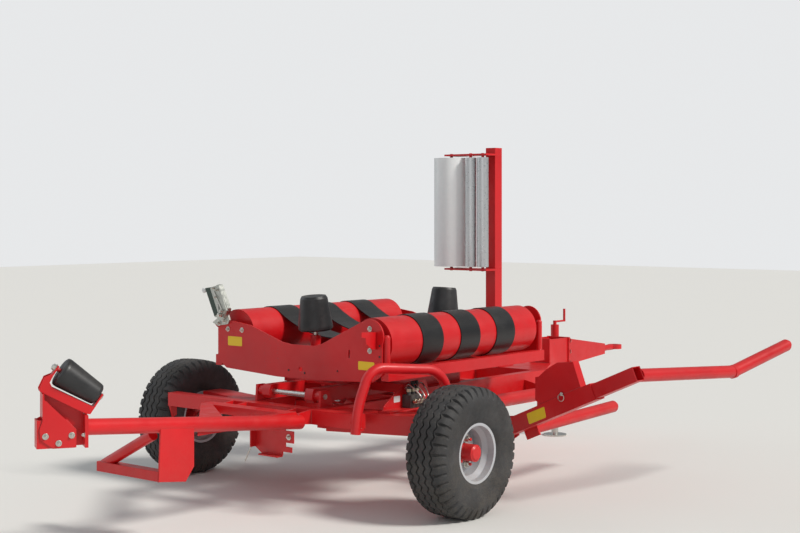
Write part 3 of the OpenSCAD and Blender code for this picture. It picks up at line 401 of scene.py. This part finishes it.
def softened(node_name, width):
    """A copy of a CAD node with its hard edges rolled, as folded plate and drawn tube have."""
    mesh = frame["nodes"][node_name].data.copy()
    bm = whole_faces(mesh)
    bm.to_mesh(mesh)
    bm.free()
    source = placed("rolled_" + node_name, mesh)
    bevel = source.modifiers.new("edges", "BEVEL")
    bevel.width = width
    bevel.segments = 2
    bevel.limit_method = "ANGLE"
    bevel.angle_limit = math.radians(34.0)
    bevel.use_clamp_overlap = True
    rolled = applied(source)
    bpy.data.objects.remove(source)
    material = MATERIALS[slot_of[node_name]]
    made = finished("rolled_" + node_name, rolled, material, body_of_node(node_name), smooth=40.0)
    flatter = made.modifiers.new("normals", "WEIGHTED_NORMAL")
    flatter.keep_sharp = True
    flatter.weight = 90
    even = applied(made)
    made.modifiers.clear()
    made.data = even
    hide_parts(node_name)


# The radius of each node's rolled edges.
ROLLED = {
    "main_frame": 0.005, "rear_beam": 0.006, "axle_arms": 0.006, "drawbar": 0.004,
    "tilt_frame": 0.004, "table_frame": 0.003, "end_plate_rear": 0.0025,
    "end_plate_front": 0.0025, "loader_arm": 0.004, "loader_slide": 0.004, "rear_arm": 0.004,
    "arm_foot": 0.003, "arm_bracket": 0.002, "cone_holder": 0.002, "film_mast": 0.005,
    "film_carrier": 0.002, "loader_pivot": 0.003, "valve_block": 0.002, "cut_and_hold": 0.003,
    "jack_sleeve": 0.002, "hub_left": 0.003, "hub_right": 0.003, "side_rails": 0.005,
    "cone_posts": 0.003, "valve_plate": 0.002,
}
for node_name, width in ROLLED.items():
    softened(node_name, width)


# Tyres: wavy grooves around the crown, and lugs that are notched into the shoulders.
GROOVES = (-0.066, -0.022, 0.022, 0.066)
GROOVE_HALF, GROOVE_DEPTH, GROOVE_TAPER = 0.0055, 0.0125, 0.002
LIP_WIDTH, LIP_DROP, CROWN_DROP = 0.0015, 0.0012, 0.0035
WAVE, WAVES = 0.0075, 40
LUG_STEPS, NOTCH_STEPS, NOTCH_DEPTH = 8, (3, 4), 0.015
AROUND = WAVES * LUG_STEPS
# From the bead outward: (below the crown, in from the side).
SIDEWALL = (
    (0.203, 0.046), (0.203, 0.030), (0.198, 0.024), (0.186, 0.021), (0.182, 0.016),
    (0.160, 0.009), (0.156, 0.0075), (0.128, 0.0035), (0.108, 0.001), (0.092, 0.0),
    (0.074, 0.001), (0.060, 0.0035),
)
# The same over the shoulder, with its share of the grooves' wave and of the notches.
SHOULDER = (
    (0.050, 0.0058, 0.0, 0.6), (0.036, 0.0125, 0.0, 1.0), (0.020, 0.021, 0.0, 1.0),
    (0.0085, 0.032, 0.0, 1.0), (0.0045, 0.042, 0.0, 1.0), (0.0038, 0.055, 0.5, 0.3),
)


def tyre_section():
    """Rows of (radius, distance from the mid-plane, share of the wave, share of the notches)."""
    half = TYRE_W / 2
    rows = [(TYRE_R - below, half - inset, 0.0, 0.0) for below, inset in SIDEWALL]
    rows += [(TYRE_R - below, half - inset, sway, notch) for below, inset, sway, notch in SHOULDER]
    crown = []
    for centre in reversed(GROOVES):
        drop = CROWN_DROP * abs(centre) / GROOVES[-1]
        edge = ((TYRE_R - drop, GROOVE_HALF + LIP_WIDTH), (TYRE_R - LIP_DROP - drop, GROOVE_HALF),
                (TYRE_R - GROOVE_DEPTH, GROOVE_HALF - GROOVE_TAPER))
        crown += [(r, centre + y, 1.0, 0.0) for r, y in edge]
        crown += [(r, centre - y, 1.0, 0.0) for r, y in reversed(edge)]
    return rows + crown + [(r, -y, sway, notch) for r, y, sway, notch in reversed(rows)]


def tyre_mesh(side):
    rows = tyre_section()
    verts, faces = [], []
    for i in range(AROUND):
        turn = 2 * math.pi * i / AROUND
        wave = WAVE * math.sin(turn * WAVES)
        cut = NOTCH_DEPTH if i % LUG_STEPS in NOTCH_STEPS else 0.0
        for r, y, sway, notch in rows:
            radius = r - cut * notch
            verts.append(at(radius * math.cos(turn), side * WHEEL_Y + y + wave * sway,
                            TYRE_R + radius * math.sin(turn)))
    n = len(rows)
    for i in range(AROUND):
        j = (i + 1) % AROUND
        for k in range(n - 1):
            faces.append((i * n + k, i * n + k + 1, j * n + k + 1, j * n + k))
        faces.append((i * n + n - 1, i * n, j * n, j * n + n - 1))
    return verts, faces


for side, word in SIDES:
    tyre = piece("tyre_with_tread_" + word, *tyre_mesh(side), MATERIALS["tyre_rubber"],
                 "wheel_" + word, smooth=38.0)
    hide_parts("tyre_" + word)


# Fasteners, set out by Geometry Nodes. A bolt of unit width: (sides, its rings as (radius, up)).
WASHER = (24, ((0.95, 0.0), (0.95, 0.10), (0.90, 0.14)))
HEAD = (6, ((0.577, 0.13), (0.577, 0.66), (0.48, 0.76)))
THREAD_END = (16, ((0.30, 0.75), (0.30, 0.95), (0.22, 1.02)))


def hex_bolt():
    """A bolt head on its washer, along +Z, with a chamfered top and a domed end."""
    bm = bmesh.new()
    for count, section in (WASHER, HEAD, THREAD_END):
        turns = [2 * math.pi * i / count for i in range(count)]
        rings = [[bm.verts.new((radius * math.cos(a), radius * math.sin(a), z)) for a in turns]
                 for radius, z in section]
        for lower, upper in zip(rings, rings[1:]):
            for i in range(count):
                j = (i + 1) % count
                bm.faces.new((lower[i], lower[j], upper[j], upper[i]))
        bm.faces.new(rings[-1])
        bm.faces.new(list(reversed(rings[0])))
    bmesh.ops.recalc_face_normals(bm, faces=bm.faces)
    mesh = bpy.data.meshes.new("hex_bolt")
    bm.to_mesh(mesh)
    bm.free()
    return placed("hex_bolt", mesh)


def bolt_rows_group(source):
    """Puts the bolt on every point, turned to the point's facing, with a random spin."""
    group = bpy.data.node_groups.new("bolt_rows", "GeometryNodeTree")
    for name, in_out, kind in (("Geometry", "INPUT", "Geometry"), ("Size", "INPUT", "Float"),
                               ("Finish", "INPUT", "Material"), ("Geometry", "OUTPUT", "Geometry")):
        group.interface.new_socket(name, in_out=in_out, socket_type="NodeSocket" + kind)
    nodes, links = group.nodes, group.links
    ins, outs = nodes.new("NodeGroupInput"), nodes.new("NodeGroupOutput")
    info = nodes.new("GeometryNodeObjectInfo")
    info.inputs["Object"].default_value = source
    facing = nodes.new("GeometryNodeInputNamedAttribute")
    facing.data_type = "FLOAT_VECTOR"
    facing.inputs["Name"].default_value = "facing"
    align = nodes.new("FunctionNodeAlignRotationToVector")
    align.axis = "Z"
    links.new(facing.outputs["Attribute"], align.inputs["Vector"])
    spread = nodes.new("FunctionNodeRandomValue")
    spread.inputs[2].default_value = 0.0
    spread.inputs[3].default_value = math.pi / 3
    spread.inputs["Seed"].default_value = 7
    spin = nodes.new("ShaderNodeCombineXYZ")
    links.new(spread.outputs[1], spin.inputs["Z"])
    turn = nodes.new("FunctionNodeRotateRotation")
    turn.rotation_space = "LOCAL"
    links.new(align.outputs["Rotation"], turn.inputs["Rotation"])
    links.new(spin.outputs["Vector"], turn.inputs["Rotate By"])
    place = nodes.new("GeometryNodeInstanceOnPoints")
    links.new(ins.outputs["Geometry"], place.inputs["Points"])
    links.new(info.outputs["Geometry"], place.inputs["Instance"])
    links.new(turn.outputs["Rotation"], place.inputs["Rotation"])
    links.new(ins.outputs["Size"], place.inputs["Scale"])
    real = nodes.new("GeometryNodeRealizeInstances")
    links.new(place.outputs["Instances"], real.inputs["Geometry"])
    paint = nodes.new("GeometryNodeSetMaterial")
    links.new(real.outputs["Geometry"], paint.inputs["Geometry"])
    links.new(ins.outputs["Finish"], paint.inputs["Material"])
    links.new(paint.outputs["Geometry"], outs.inputs["Geometry"])
    return group


BOLT = hex_bolt()
BOLT_ROWS = bolt_rows_group(BOLT)
BOLT_INPUTS = {item.name: item.identifier for item in BOLT_ROWS.interface.items_tree
               if item.in_out == "INPUT"}


def bolts(name, spots, size, body):
    """spots is a list of (point, facing). size is the width across the flats."""
    mesh = bpy.data.meshes.new(name)
    mesh.from_pydata([tuple(p) for p, _ in spots], [], [])
    facing = mesh.attributes.new("facing", "FLOAT_VECTOR", "POINT")
    for i, (_, normal) in enumerate(spots):
        facing.data[i].vector = Vector(normal).normalized()
    carrier = placed(name + "_points", mesh)
    modifier = carrier.modifiers.new("rows", "NODES")
    modifier.node_group = BOLT_ROWS
    modifier[BOLT_INPUTS["Size"]] = size
    modifier[BOLT_INPUTS["Finish"]] = STEEL
    result = applied(carrier)
    bpy.data.objects.remove(carrier)
    finished(name, result, STEEL, body, smooth=30.0)


def toward(normal, points):
    """The points as spots for bolts that all face one way."""
    return [(p, normal) for p in points]


# Widths across the flats.
PLATE_BOLT, WHEEL_NUT, DRAWBAR_BOLT = 0.0165, 0.027, 0.020
BRACKET_BOLT, LATCH_BOLT, DEVICE_BOLT = 0.0155, 0.018, 0.018
bolts("end_plate_bolts", toward(BACK, across(REAR_PLATE, (
    (0.571, 0.935), (0.450, 0.935), (-0.561, 0.995), (-0.561, 0.873)))), PLATE_BOLT, "table")
bolts("front_plate_bolts", toward(FRONT, across(FRONT_PLATE, (
    (0.630, 0.995), (0.510, 0.865), (-0.630, 0.935), (-0.510, 0.935)))), PLATE_BOLT, "table")

NUTS, NUT_CIRCLE, HUB_FACE = 5, 0.070, 0.015
for side, word in SIDES:
    circle = [2 * math.pi * i / NUTS for i in range(NUTS)]
    spots = [at(NUT_CIRCLE * math.cos(a), side * (WHEEL_Y + HUB_FACE),
                TYRE_R + side * NUT_CIRCLE * math.sin(a)) for a in circle]
    bolts("wheel_nuts_" + word, toward((0, side, 0), spots), WHEEL_NUT, "wheel_" + word)

FLANGE, FLANGE_Y = DRAWBAR_END + 0.016, 0.086
bolts("drawbar_bolts", toward(FRONT, across(FLANGE, [
    (s * FLANGE_Y, z) for s in (1, -1) for z in (0.560, 0.640, 0.718)])), DRAWBAR_BOLT, "chassis")

END_TURN, HOLDER_TILT = math.radians(30), math.radians(34.5)


def on_end(x, y, z):
    """A point on the turned bracket at the trailing arm's end."""
    c, s = math.cos(END_TURN), math.sin(END_TURN)
    return at(-1.932 + x * c + y * s, -0.345 - x * s + y * c, 0.62862 + z)


def on_holder(u, y, w):
    """A point along the trailing cone: u runs forward and down its axis."""
    c, s = math.cos(HOLDER_TILT), math.sin(HOLDER_TILT)
    return on_end(-0.0185 + u * c + w * s, 0.050 + y, 0.208 - u * s + w * c)


END_SIDE = on_end(0, -1, 0) - on_end(0, 0, 0)
END_BACK = on_end(-1, 0, 0) - on_end(0, 0, 0)
CONE_AXIS = (on_holder(1, 0, 0) - on_holder(0, 0, 0)).normalized()
bracket_spots = toward(END_SIDE, [on_end(x, -0.0085, z) for x, z in (
    (-0.181, -0.026), (-0.1205, -0.060), (-0.061, -0.026))])
bracket_spots += toward(END_BACK, [on_end(-0.0025, -0.012, -0.026)])
bolts("arm_bracket_bolts", bracket_spots, BRACKET_BOLT, "trailing_arm")
bolts("latch_bolts", toward(BACK, [at(-0.4785, -0.250, 0.405)]), LATCH_BOLT, "trailing_arm")

# Stickers without words.
STICKER_GAP, STICKER_THICK, STICKER_CORNER, CORNER_STEPS = 0.0002, 0.0006, 0.006, 4
CORNER_POWER = 1.6


def sticker(name, corners, normal, material, body):
    """A thin label with rounded corners, given by its four corners, that stands proud."""
    n = Vector(normal).normalized()
    a, b, c, d = corners
    outline = []
    for p, q, r in ((d, a, b), (a, b, c), (b, c, d), (c, d, a)):
        to_p = (p - q).normalized() * STICKER_CORNER
        to_r = (r - q).normalized() * STICKER_CORNER
        for k in range(CORNER_STEPS + 1):
            t = k / CORNER_STEPS
            outline.append(q + to_p * (1 - t) ** CORNER_POWER + to_r * t ** CORNER_POWER)
    verts = [p + n * STICKER_GAP for p in outline] + [p + n * STICKER_THICK for p in outline]
    m = len(outline)
    faces = [tuple(range(m, 2 * m)), tuple(reversed(range(m)))]
    faces += [(i, (i + 1) % m, m + (i + 1) % m, m + i) for i in range(m)]
    piece(name, verts, faces, material, body, smooth=20.0)


for word, y0, y1, z0, z1 in (("left", 0.450, 0.571, 0.838, 0.893),
                             ("right", -0.594, -0.476, 0.765, 0.812)):
    corners = across(REAR_PLATE, ((y0, z0), (y1, z0), (y1, z1), (y0, z1)))
    sticker("label_" + word, corners, BACK, YELLOW, "table")
LOADER_PANEL = 0.712
sticker("label_loader", across(LOADER_PANEL, (
    (-1.137, 0.465), (-1.019, 0.414), (-1.001, 0.473), (-1.123, 0.525))), BACK, YELLOW, "loader")


# Turned, swept and folded pieces.
def joined(parts):
    """One list of points and faces from several."""
    verts, faces = [], []
    for more, skins in parts:
        base = len(verts)
        verts += more
        faces += [tuple(base + i for i in face) for face in skins]
    return verts, faces


def ring_around(centre, u, v, radius, sides):
    turns = [2 * math.pi * i / sides for i in range(sides)]
    return [centre + (u * math.cos(a) + v * math.sin(a)) * radius for a in turns]


def tube_faces(rings, sides):
    """The skin over rings of points, closed at both ends."""
    faces = []
    for k in range(rings - 1):
        for i in range(sides):
            j = (i + 1) % sides
            faces.append((k * sides + i, k * sides + j, (k + 1) * sides + j, (k + 1) * sides + i))
    return faces + [tuple(reversed(range(sides))),
                    tuple(range((rings - 1) * sides, rings * sides))]


def turned(place, axis, profile, sides=28):
    """A turned solid: profile lists the distance along the axis and the radius there."""
    n = Vector(axis).normalized()
    u = n.orthogonal().normalized()
    v = n.cross(u)
    verts = []
    for s, r in profile:
        verts += ring_around(place + n * s, u, v, r, sides)
    return verts, tube_faces(len(profile), sides)


def swept(points, radii, sides):
    """A round bar along points, with its radius at each."""
    verts = []
    lateral = None
    for k, p in enumerate(points):
        run = (points[min(k + 1, len(points) - 1)] - points[max(k - 1, 0)]).normalized()
        leaning = run.orthogonal() if lateral is None else lateral - run * lateral.dot(run)
        lateral = leaning.normalized()
        verts += ring_around(p, lateral, run.cross(lateral), radii[k], sides)
    return verts, tube_faces(len(points), sides)


def bar(points, radius, sides=10):
    """A round bar of one radius along points."""
    return swept(points, [radius] * len(points), sides)


def folded(points, normal, thick):
    """A flat plate from its outline, as thick as given along the normal."""
    n = Vector(normal).normalized() * thick
    m = len(points)
    verts = points + [p + n for p in points]
    faces = [tuple(reversed(range(m))), tuple(range(m, 2 * m))]
    return verts, faces + [(i, (i + 1) % m, m + (i + 1) % m, m + i) for i in range(m)]


def curved(controls, steps=8):
    """Points on a smooth line through the controls."""
    ends = [controls[0], *controls, controls[-1]]
    line = []
    for a, b, c, d in zip(ends, ends[1:], ends[2:], ends[3:]):
        for k in range(steps):
            t = k / steps
            square = (2 * a - 5 * b + 4 * c - d) * t * t
            cube = (3 * b - 3 * c + d - a) * t ** 3
            line.append(0.5 * ((2 * b) + (c - a) * t + square + cube))
    return line + [ends[-1]]


def one(name, parts, material, body, smooth=SMOOTH):
    return piece(name, *joined(parts), material, body, smooth)


# The guard hoop: one bent tube on its two feet. Corners are (along, up, bend radius).
HOOP_FOOT, HOOP_LEG, HOOP_R, BEND_STEPS = at(-0.444, -0.710, 0), at(0.094, -0.900, 0), 0.028, 18
HOOP_CORNERS = ((0.0, 0.462, 0.0), (0.0089, 0.5895, 0.600), (0.088, 0.8093, 0.109),
                (0.570, 0.7711, 0.142), (0.570, 0.529, 0.0))


def hoop_line():
    """The tube's centre line: straight runs with an arc at each corner."""
    flat = [Vector((c[0], c[1])) for c in HOOP_CORNERS]
    line = [flat[0]]
    for before, corner, after, bend in zip(flat, flat[1:], flat[2:], HOOP_CORNERS[1:]):
        into, out = (corner - before).normalized(), (after - corner).normalized()
        turn = into.angle(out)
        start = corner - into * bend[2] * math.tan(turn / 2)
        inward = Vector((into.y, -into.x))
        for k in range(BEND_STEPS + 1):
            a = turn * k / BEND_STEPS
            line.append(start + into * bend[2] * math.sin(a) + inward * bend[2] * (1 - math.cos(a)))
    line.append(flat[-1])
    along = (HOOP_LEG - HOOP_FOOT).normalized()
    return [HOOP_FOOT + along * p.x + Vector((0, 0, p.y)) for p in line]


REAR_FOOT = level(0.480, ((-0.320, -0.562), (-0.320, -0.598), (-0.410, -0.738), (-0.454, -0.738),
                          (-0.454, -0.690)))
FRONT_FOOT = level(0.525, ((0.030, -0.930), (0.130, -0.930), (0.130, -0.870), (0.030, -0.870)))
hoop = one("guard_hoop_tube", [
    bar(hoop_line(), HOOP_R, sides=40), folded(REAR_FOOT, UP, 0.012), folded(FRONT_FOOT, UP, 0.010),
], RED, body_of_node("guard_hoop"), smooth=40.0)
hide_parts("guard_hoop")

# Steel sleeves of the table cones' spindles, which lean outward.
SLEEVE = ((-0.0265, 0.0165), (-0.022, 0.0165), (-0.021, 0.0142), (-0.004, 0.0142),
          (-0.0025, 0.0125))
SPINDLE_LEAN, TABLE_MIDDLE, SPINDLE_REACH = 5, 0.600, 0.598
for word, s in (("rear", -1), ("front", 1)):
    lean = math.radians(SPINDLE_LEAN * s)
    foot = at(TABLE_MIDDLE + SPINDLE_REACH * s, 0, 0.950)
    one("spindle_sleeve_" + word, [turned(foot, (math.sin(lean), 0, math.cos(lean)), SLEEVE)],
        STEEL, "table")

# Weld beads run along the inner corners where plates and tubes meet. Turns are in degrees.
CORNER_LEAST, CORNER_MOST, BEAD_BEND = 50, 125, 50
RIPPLE_STEP, RIPPLE_WAVES, RIPPLE_SHIFT = 0.007, 220, 40
RIPPLE_LEAST, RIPPLE_MORE, BEAD_TIP, BEAD_SIDES = 0.92, 0.16, 0.5, 6
SHORTEST, LONGEST = 0.03, 0.9
# The loader arm's long inner edges are inside its box beam, where the slide runs.
LONGEST_IN = {"loader_arm": 0.35}
# The radius of each node's beads.
WELDED = {
    "main_frame": 0.004, "rear_beam": 0.004, "axle_arms": 0.004, "drawbar": 0.004,
    "side_rails": 0.003, "loader_arm": 0.004, "arm_foot": 0.003, "arm_bracket": 0.0025,
    "cone_holder": 0.002, "guard_hoop": 0.003, "film_mast": 0.003, "valve_plate": 0.002,
}


def inner_corners(node_name):
    """Lines of points along the node's hollow edges."""
    bm = whole_faces(frame["nodes"][node_name].data)
    chosen = {}
    for edge in bm.edges:
        if len(edge.link_faces) == 2:
            turn = -math.degrees(edge.calc_face_angle_signed(0.0))
            if CORNER_LEAST < turn < CORNER_MOST:
                for vert in edge.verts:
                    chosen.setdefault(vert.index, []).append(edge)
    bm.verts.ensure_lookup_table()
    places = {i: bm.verts[i].co.copy() for i in chosen}
    links = {i: [e.other_vert(bm.verts[i]).index for e in edges] for i, edges in chosen.items()}
    bm.free()
    lines, used = [], set()
    starts = [i for i in links if len(links[i]) != 2] + list(links)
    for start in starts:
        for now in links[start]:
            if frozenset((start, now)) in used:
                continue
            line = [start]
            used.add(frozenset((start, now)))
            while True:
                line.append(now)
                if len(links[now]) != 2 or now == start:
                    break
                onward = [k for k in links[now] if frozenset((now, k)) not in used]
                if not onward:
                    break
                a, b, c = places[line[-2]], places[now], places[onward[0]]
                if (b - a).angle(c - b, 0.0) > math.radians(BEAD_BEND):
                    break
                used.add(frozenset((now, onward[0])))
                now = onward[0]
            lines.append([places[i] for i in line])
    return lines


def weld_bead(line, radius):
    """A bar along the line, with the ripple of the weld in its radius."""
    points, radii, walked = [], [], 0.0
    for a, b in zip(line, line[1:]):
        run = (b - a).length
        steps = max(1, int(run / RIPPLE_STEP))
        for k in range(steps):
            points.append(a.lerp(b, k / steps))
            wave = abs(math.sin(RIPPLE_WAVES * walked + RIPPLE_SHIFT * a.x))
            radii.append(radius * (RIPPLE_LEAST + RIPPLE_MORE * wave))
            walked += run / steps
    points.append(line[-1])
    radii.append(radius)
    radii[0] = radii[-1] = radius * BEAD_TIP
    return swept(points, radii, BEAD_SIDES)


for node_name, radius in WELDED.items():
    beads = []
    for line in inner_corners(node_name):
        length = sum((b - a).length for a, b in zip(line, line[1:]))
        if SHORTEST < length < LONGEST_IN.get(node_name, LONGEST):
            beads.append(weld_bead(line, radius))
    if beads:
        one("weld_beads_" + node_name, beads, WELD, body_of_node(node_name), smooth=60.0)

# The device on the rear end plate: dark inner plate, knob, levers, union nuts and bolts.
ROD_R = 0.004
one("device_plate", [folded(across(-0.2045, (
    (0.7215, 1.1765), (0.6755, 1.182), (0.604, 1.032), (0.640, 1.012))), BACK, 0.003)],
    DARK_PLATE, "table")
KNOB = ((0.0, 0.006), (0.006, 0.006), (0.006, 0.013), (0.010, 0.0155), (0.017, 0.0155),
        (0.021, 0.012), (0.022, 0.004))
one("device_knob", [turned(at(-0.186, 0.7385, 1.163), BACK, KNOB)], WHITE, "table")
HANDLE = (at(-0.216, 0.600, 1.100), at(-0.218, 0.596, 1.060), at(-0.217, 0.584, 1.010))
FLAT_LEVER = across(-0.2122, ((0.640, 1.158), (0.632, 1.162), (0.560, 1.052), (0.568, 1.048)))
one("device_levers", [bar(curved(HANDLE), ROD_R), folded(FLAT_LEVER, BACK, 0.006)],
    BRIGHT, "table")
one("device_nuts", [
    turned(at(-0.2115, y, z), BACK,
           [(0.0, r), (0.010, r), (0.010, r * 0.7), (0.020, r * 0.7), (0.022, r * 0.45)], sides=6)
    for y, z, r in ((0.582, 1.022, 0.017), (0.566, 1.046, 0.012), (0.618, 1.127, 0.007),
                    (0.610, 1.170, 0.007), (0.640, 1.180, 0.007))
], STEEL, "table", smooth=25.0)
bolts("device_bolts", toward(BACK, across(-0.1725, ((0.637, 0.968), (0.590, 0.985)))),
      DEVICE_BOLT, "table")
one("corner_ear", [folded(across(-0.1606, (
    (0.694, 0.972), (0.652, 0.995), (0.640, 0.978), (0.657, 0.943))), BACK, 0.006)], RED, "table")

# The folded bracket on the right lobe of the rear end plate, and black discs in the plate's holes
# that paint the shade inside the open holes.
ON_PLATE = -0.1602
web = lengthwise(-0.606, ((ON_PLATE, 0.980), (-0.284, 0.986), (-0.286, 0.960), (-0.252, 0.952),
                          (-0.246, 0.920), (-0.200, 0.888), (ON_PLATE, 0.884)))
flange = across(ON_PLATE, ((-0.6055, 0.980), (-0.578, 0.980), (-0.578, 0.884), (-0.6055, 0.884)))
one("lobe_bracket", [folded(web, RIGHT, 0.006), folded(flange, BACK, 0.005)], RED, "table")
# Painted shade: black plastic discs fill the plate's holes so that they show dark, as shaded open
# holes do.
one("plate_plugs", [
    turned(at(ON_PLATE, y, z), BACK, [(0.0, r), (0.0016, r), (0.0030, r * 0.7), (0.0032, r * 0.2)])
    for y, z, r in ((0.062, 0.724, 0.006), (-0.066, 0.716, 0.006), (-0.632, 0.845, 0.006),
                    (-0.632, 0.905, 0.006), (-0.320, 0.745, 0.005))
], PLASTIC, "table")

# Union nuts, steel pipes, knobs and a blank label on the valve block.
ports = (0.142, 0.176, 0.210)
tops = [at(x, -0.590, 0.652) for x in ports]
sides = [at(x, -0.650, 0.572) for x in ports]
UNION_NUT = ((0.0, 0.010), (0.0, 0.0145), (0.016, 0.0145), (0.018, 0.011), (0.026, 0.011),
             (0.028, 0.006))
one("valve_nuts", [turned(p + Vector((0, 0, -0.030)), UP, UNION_NUT, sides=6) for p in tops]
    + [turned(p + Vector((0, 0.020, 0)), RIGHT, UNION_NUT, sides=6) for p in sides],
    BRASS, "chassis", smooth=25.0)
pipes = []
for p, x in zip(sides, (0.128, 0.180, 0.236)):
    end = at(x + 0.01, -0.5645, 0.640)
    pipes.append(bar(curved([
        p, p + Vector((0, -0.018, 0.004)), p + Vector((0.0, -0.026, 0.034)), at(x, -0.622, 0.655),
        at(x + 0.006, -0.590, 0.664), end + Vector((0, -0.006, 0.0)), end]), ROD_R))
one("valve_pipes", pipes, BRIGHT, "chassis", smooth=50.0)
VALVE_KNOB = ((0.0, 0.008), (0.010, 0.008), (0.010, 0.011), (0.014, 0.0125), (0.024, 0.0125),
              (0.028, 0.009), (0.029, 0.003))
one("valve_knobs", [turned(p, UP, VALVE_KNOB) for p in tops[1:]], PLASTIC, "chassis")
sticker("valve_label", lengthwise(-0.5602, (
    (0.045, 0.567), (0.100, 0.567), (0.100, 0.602), (0.045, 0.602))), RIGHT, WHITE, "chassis")

# Nuts and washers on the trailing cone's spindle.
END_NUT = ((0.0, 0.020), (0.003, 0.020), (0.003, 0.0155), (0.014, 0.0155), (0.016, 0.012),
           (0.019, 0.007))
one("spindle_nuts", [
    turned(on_holder(-0.134, 0, 0), -CONE_AXIS, END_NUT, sides=6),
    turned(on_holder(0.120, 0, 0), CONE_AXIS, [(s * 0.5, r) for s, r in END_NUT], sides=6),
], STEEL, "trailing_arm", smooth=25.0)

# The rod of the arm's latch, and the ring pin that locks the loader panel.
LATCH_LINE = (at(-0.470, 0.030, 0.360), at(-0.466, 0.052, 0.330), at(-0.462, 0.085, 0.280),
              at(-0.461, 0.112, 0.232))
one("latch_rod", [bar(curved(LATCH_LINE), ROD_R)], STEEL, "trailing_arm")
RING_R, RING_WIRE, RING_STEPS, PIN_Y = 0.020, 0.0024, 32, -1.243
RING_PIN = ((0.0, 0.010), (0.006, 0.010), (0.008, 0.007), (0.014, 0.007), (0.016, 0.004))
ring = across(0.703, [(PIN_Y + RING_R * math.cos(a), 0.587 + RING_R * math.sin(a))
                      for a in [2 * math.pi * i / RING_STEPS for i in range(RING_STEPS + 1)]])
one("ring_pin", [bar(ring, RING_WIRE, sides=8),
                 turned(at(0.7125, PIN_Y, 0.607), BACK, RING_PIN, sides=20)], STEEL, "loader")

# Valves of the wheel rims.
RIM_VALVE = ((-0.030, 0.0055), (0.010, 0.005), (0.010, 0.004), (0.030, 0.004), (0.030, 0.0052),
             (0.038, 0.0052), (0.040, 0.003))
for side, word in SIDES:
    stem = at(0.118, side * (WHEEL_Y + 0.012), TYRE_R + 0.088)
    one("rim_valve_" + word, [turned(stem, (0.25, side, 0.18), RIM_VALVE, sides=16)], PLASTIC,
        "wheel_" + word)


# Stage, light and camera.
def build_stage():
    bpy.ops.mesh.primitive_plane_add(size=60, location=(AXLE_X + 1, 0, GROUND))
    floor = bpy.context.object
    floor.name = "floor"
    mat, _, bsdf = new_material("studio_floor")
    bsdf.inputs["Base Color"].default_value = (0.78, 0.77, 0.74, 1)
    bsdf.inputs["Roughness"].default_value = 0.9
    floor.data.materials.append(mat)
    world = bpy.data.worlds.new("studio")
    bpy.context.scene.world = world
    world.use_nodes = True
    tree = world.node_tree
    sky = tree.nodes["Background"]
    sky.inputs["Color"].default_value = (0.92, 0.96, 1.0, 1)
    sky.inputs["Strength"].default_value = 0.34
    pale = add(tree, "ShaderNodeBackground", Color=(0.80, 0.81, 0.82, 1), Strength=1.0)
    path = tree.nodes.new("ShaderNodeLightPath")
    seen = maths(tree, "MAXIMUM", path.outputs["Is Camera Ray"],
                 path.outputs["Is Transmission Ray"])
    mix = tree.nodes.new("ShaderNodeMixShader")
    tree.links.new(seen, mix.inputs["Fac"])
    tree.links.new(sky.outputs["Background"], mix.inputs[1])
    tree.links.new(pale.outputs["Background"], mix.inputs[2])
    tree.links.new(mix.outputs["Shader"], tree.nodes["World Output"].inputs["Surface"])


LIT = at(0.3, 0, 0.5)


def far_light(name, place, strength, spread, colour=(1, 1, 1)):
    """A soft even light from far away, coming from the given side of the machine."""
    data = bpy.data.lights.new(name, "SUN")
    data.angle = math.radians(spread)
    data.energy = strength
    data.color = colour
    obj = placed(name, data)
    obj.location = at(*place)
    obj.rotation_euler = (LIT - at(*place)).to_track_quat("-Z", "Y").to_euler()


# The camera that was fitted to the photo.
CAMERA_PLACE = (-6.172, -5.823, 1.65)
CAMERA_TURN, SENSOR = 40.0, 36.0
FOCAL_PIXELS, HORIZON, IMAGE_W, IMAGE_H = 1450.0, 210.0, 800.0, 533.0


def build_camera():
    data = bpy.data.cameras.new("camera")
    data.sensor_width = SENSOR
    data.lens = SENSOR * FOCAL_PIXELS / IMAGE_W
    data.shift_y = -(IMAGE_H / 2 - HORIZON) / IMAGE_W
    data.clip_end = 200
    camera = placed("camera", data)
    camera.location = at(*CAMERA_PLACE)
    turn = math.radians(CAMERA_TURN)
    look = Vector((math.cos(turn), math.sin(turn), 0))
    camera.rotation_euler = look.to_track_quat("-Z", "Y").to_euler()
    bpy.context.scene.camera = camera


build_stage()
far_light("key", (2.2, -6.5, 6.5), strength=2.7, spread=14, colour=(1.0, 0.97, 0.92))
far_light("behind_camera", (-7.5, -4.5, 4.0), strength=0.22, spread=50)
far_light("left_fill", (-2.0, 7.0, 4.0), strength=0.45, spread=50, colour=(0.88, 0.94, 1.0))
build_camera()
bpy.context.scene.view_settings.view_transform = "Standard"
bpy.data.objects.remove(BOLT)
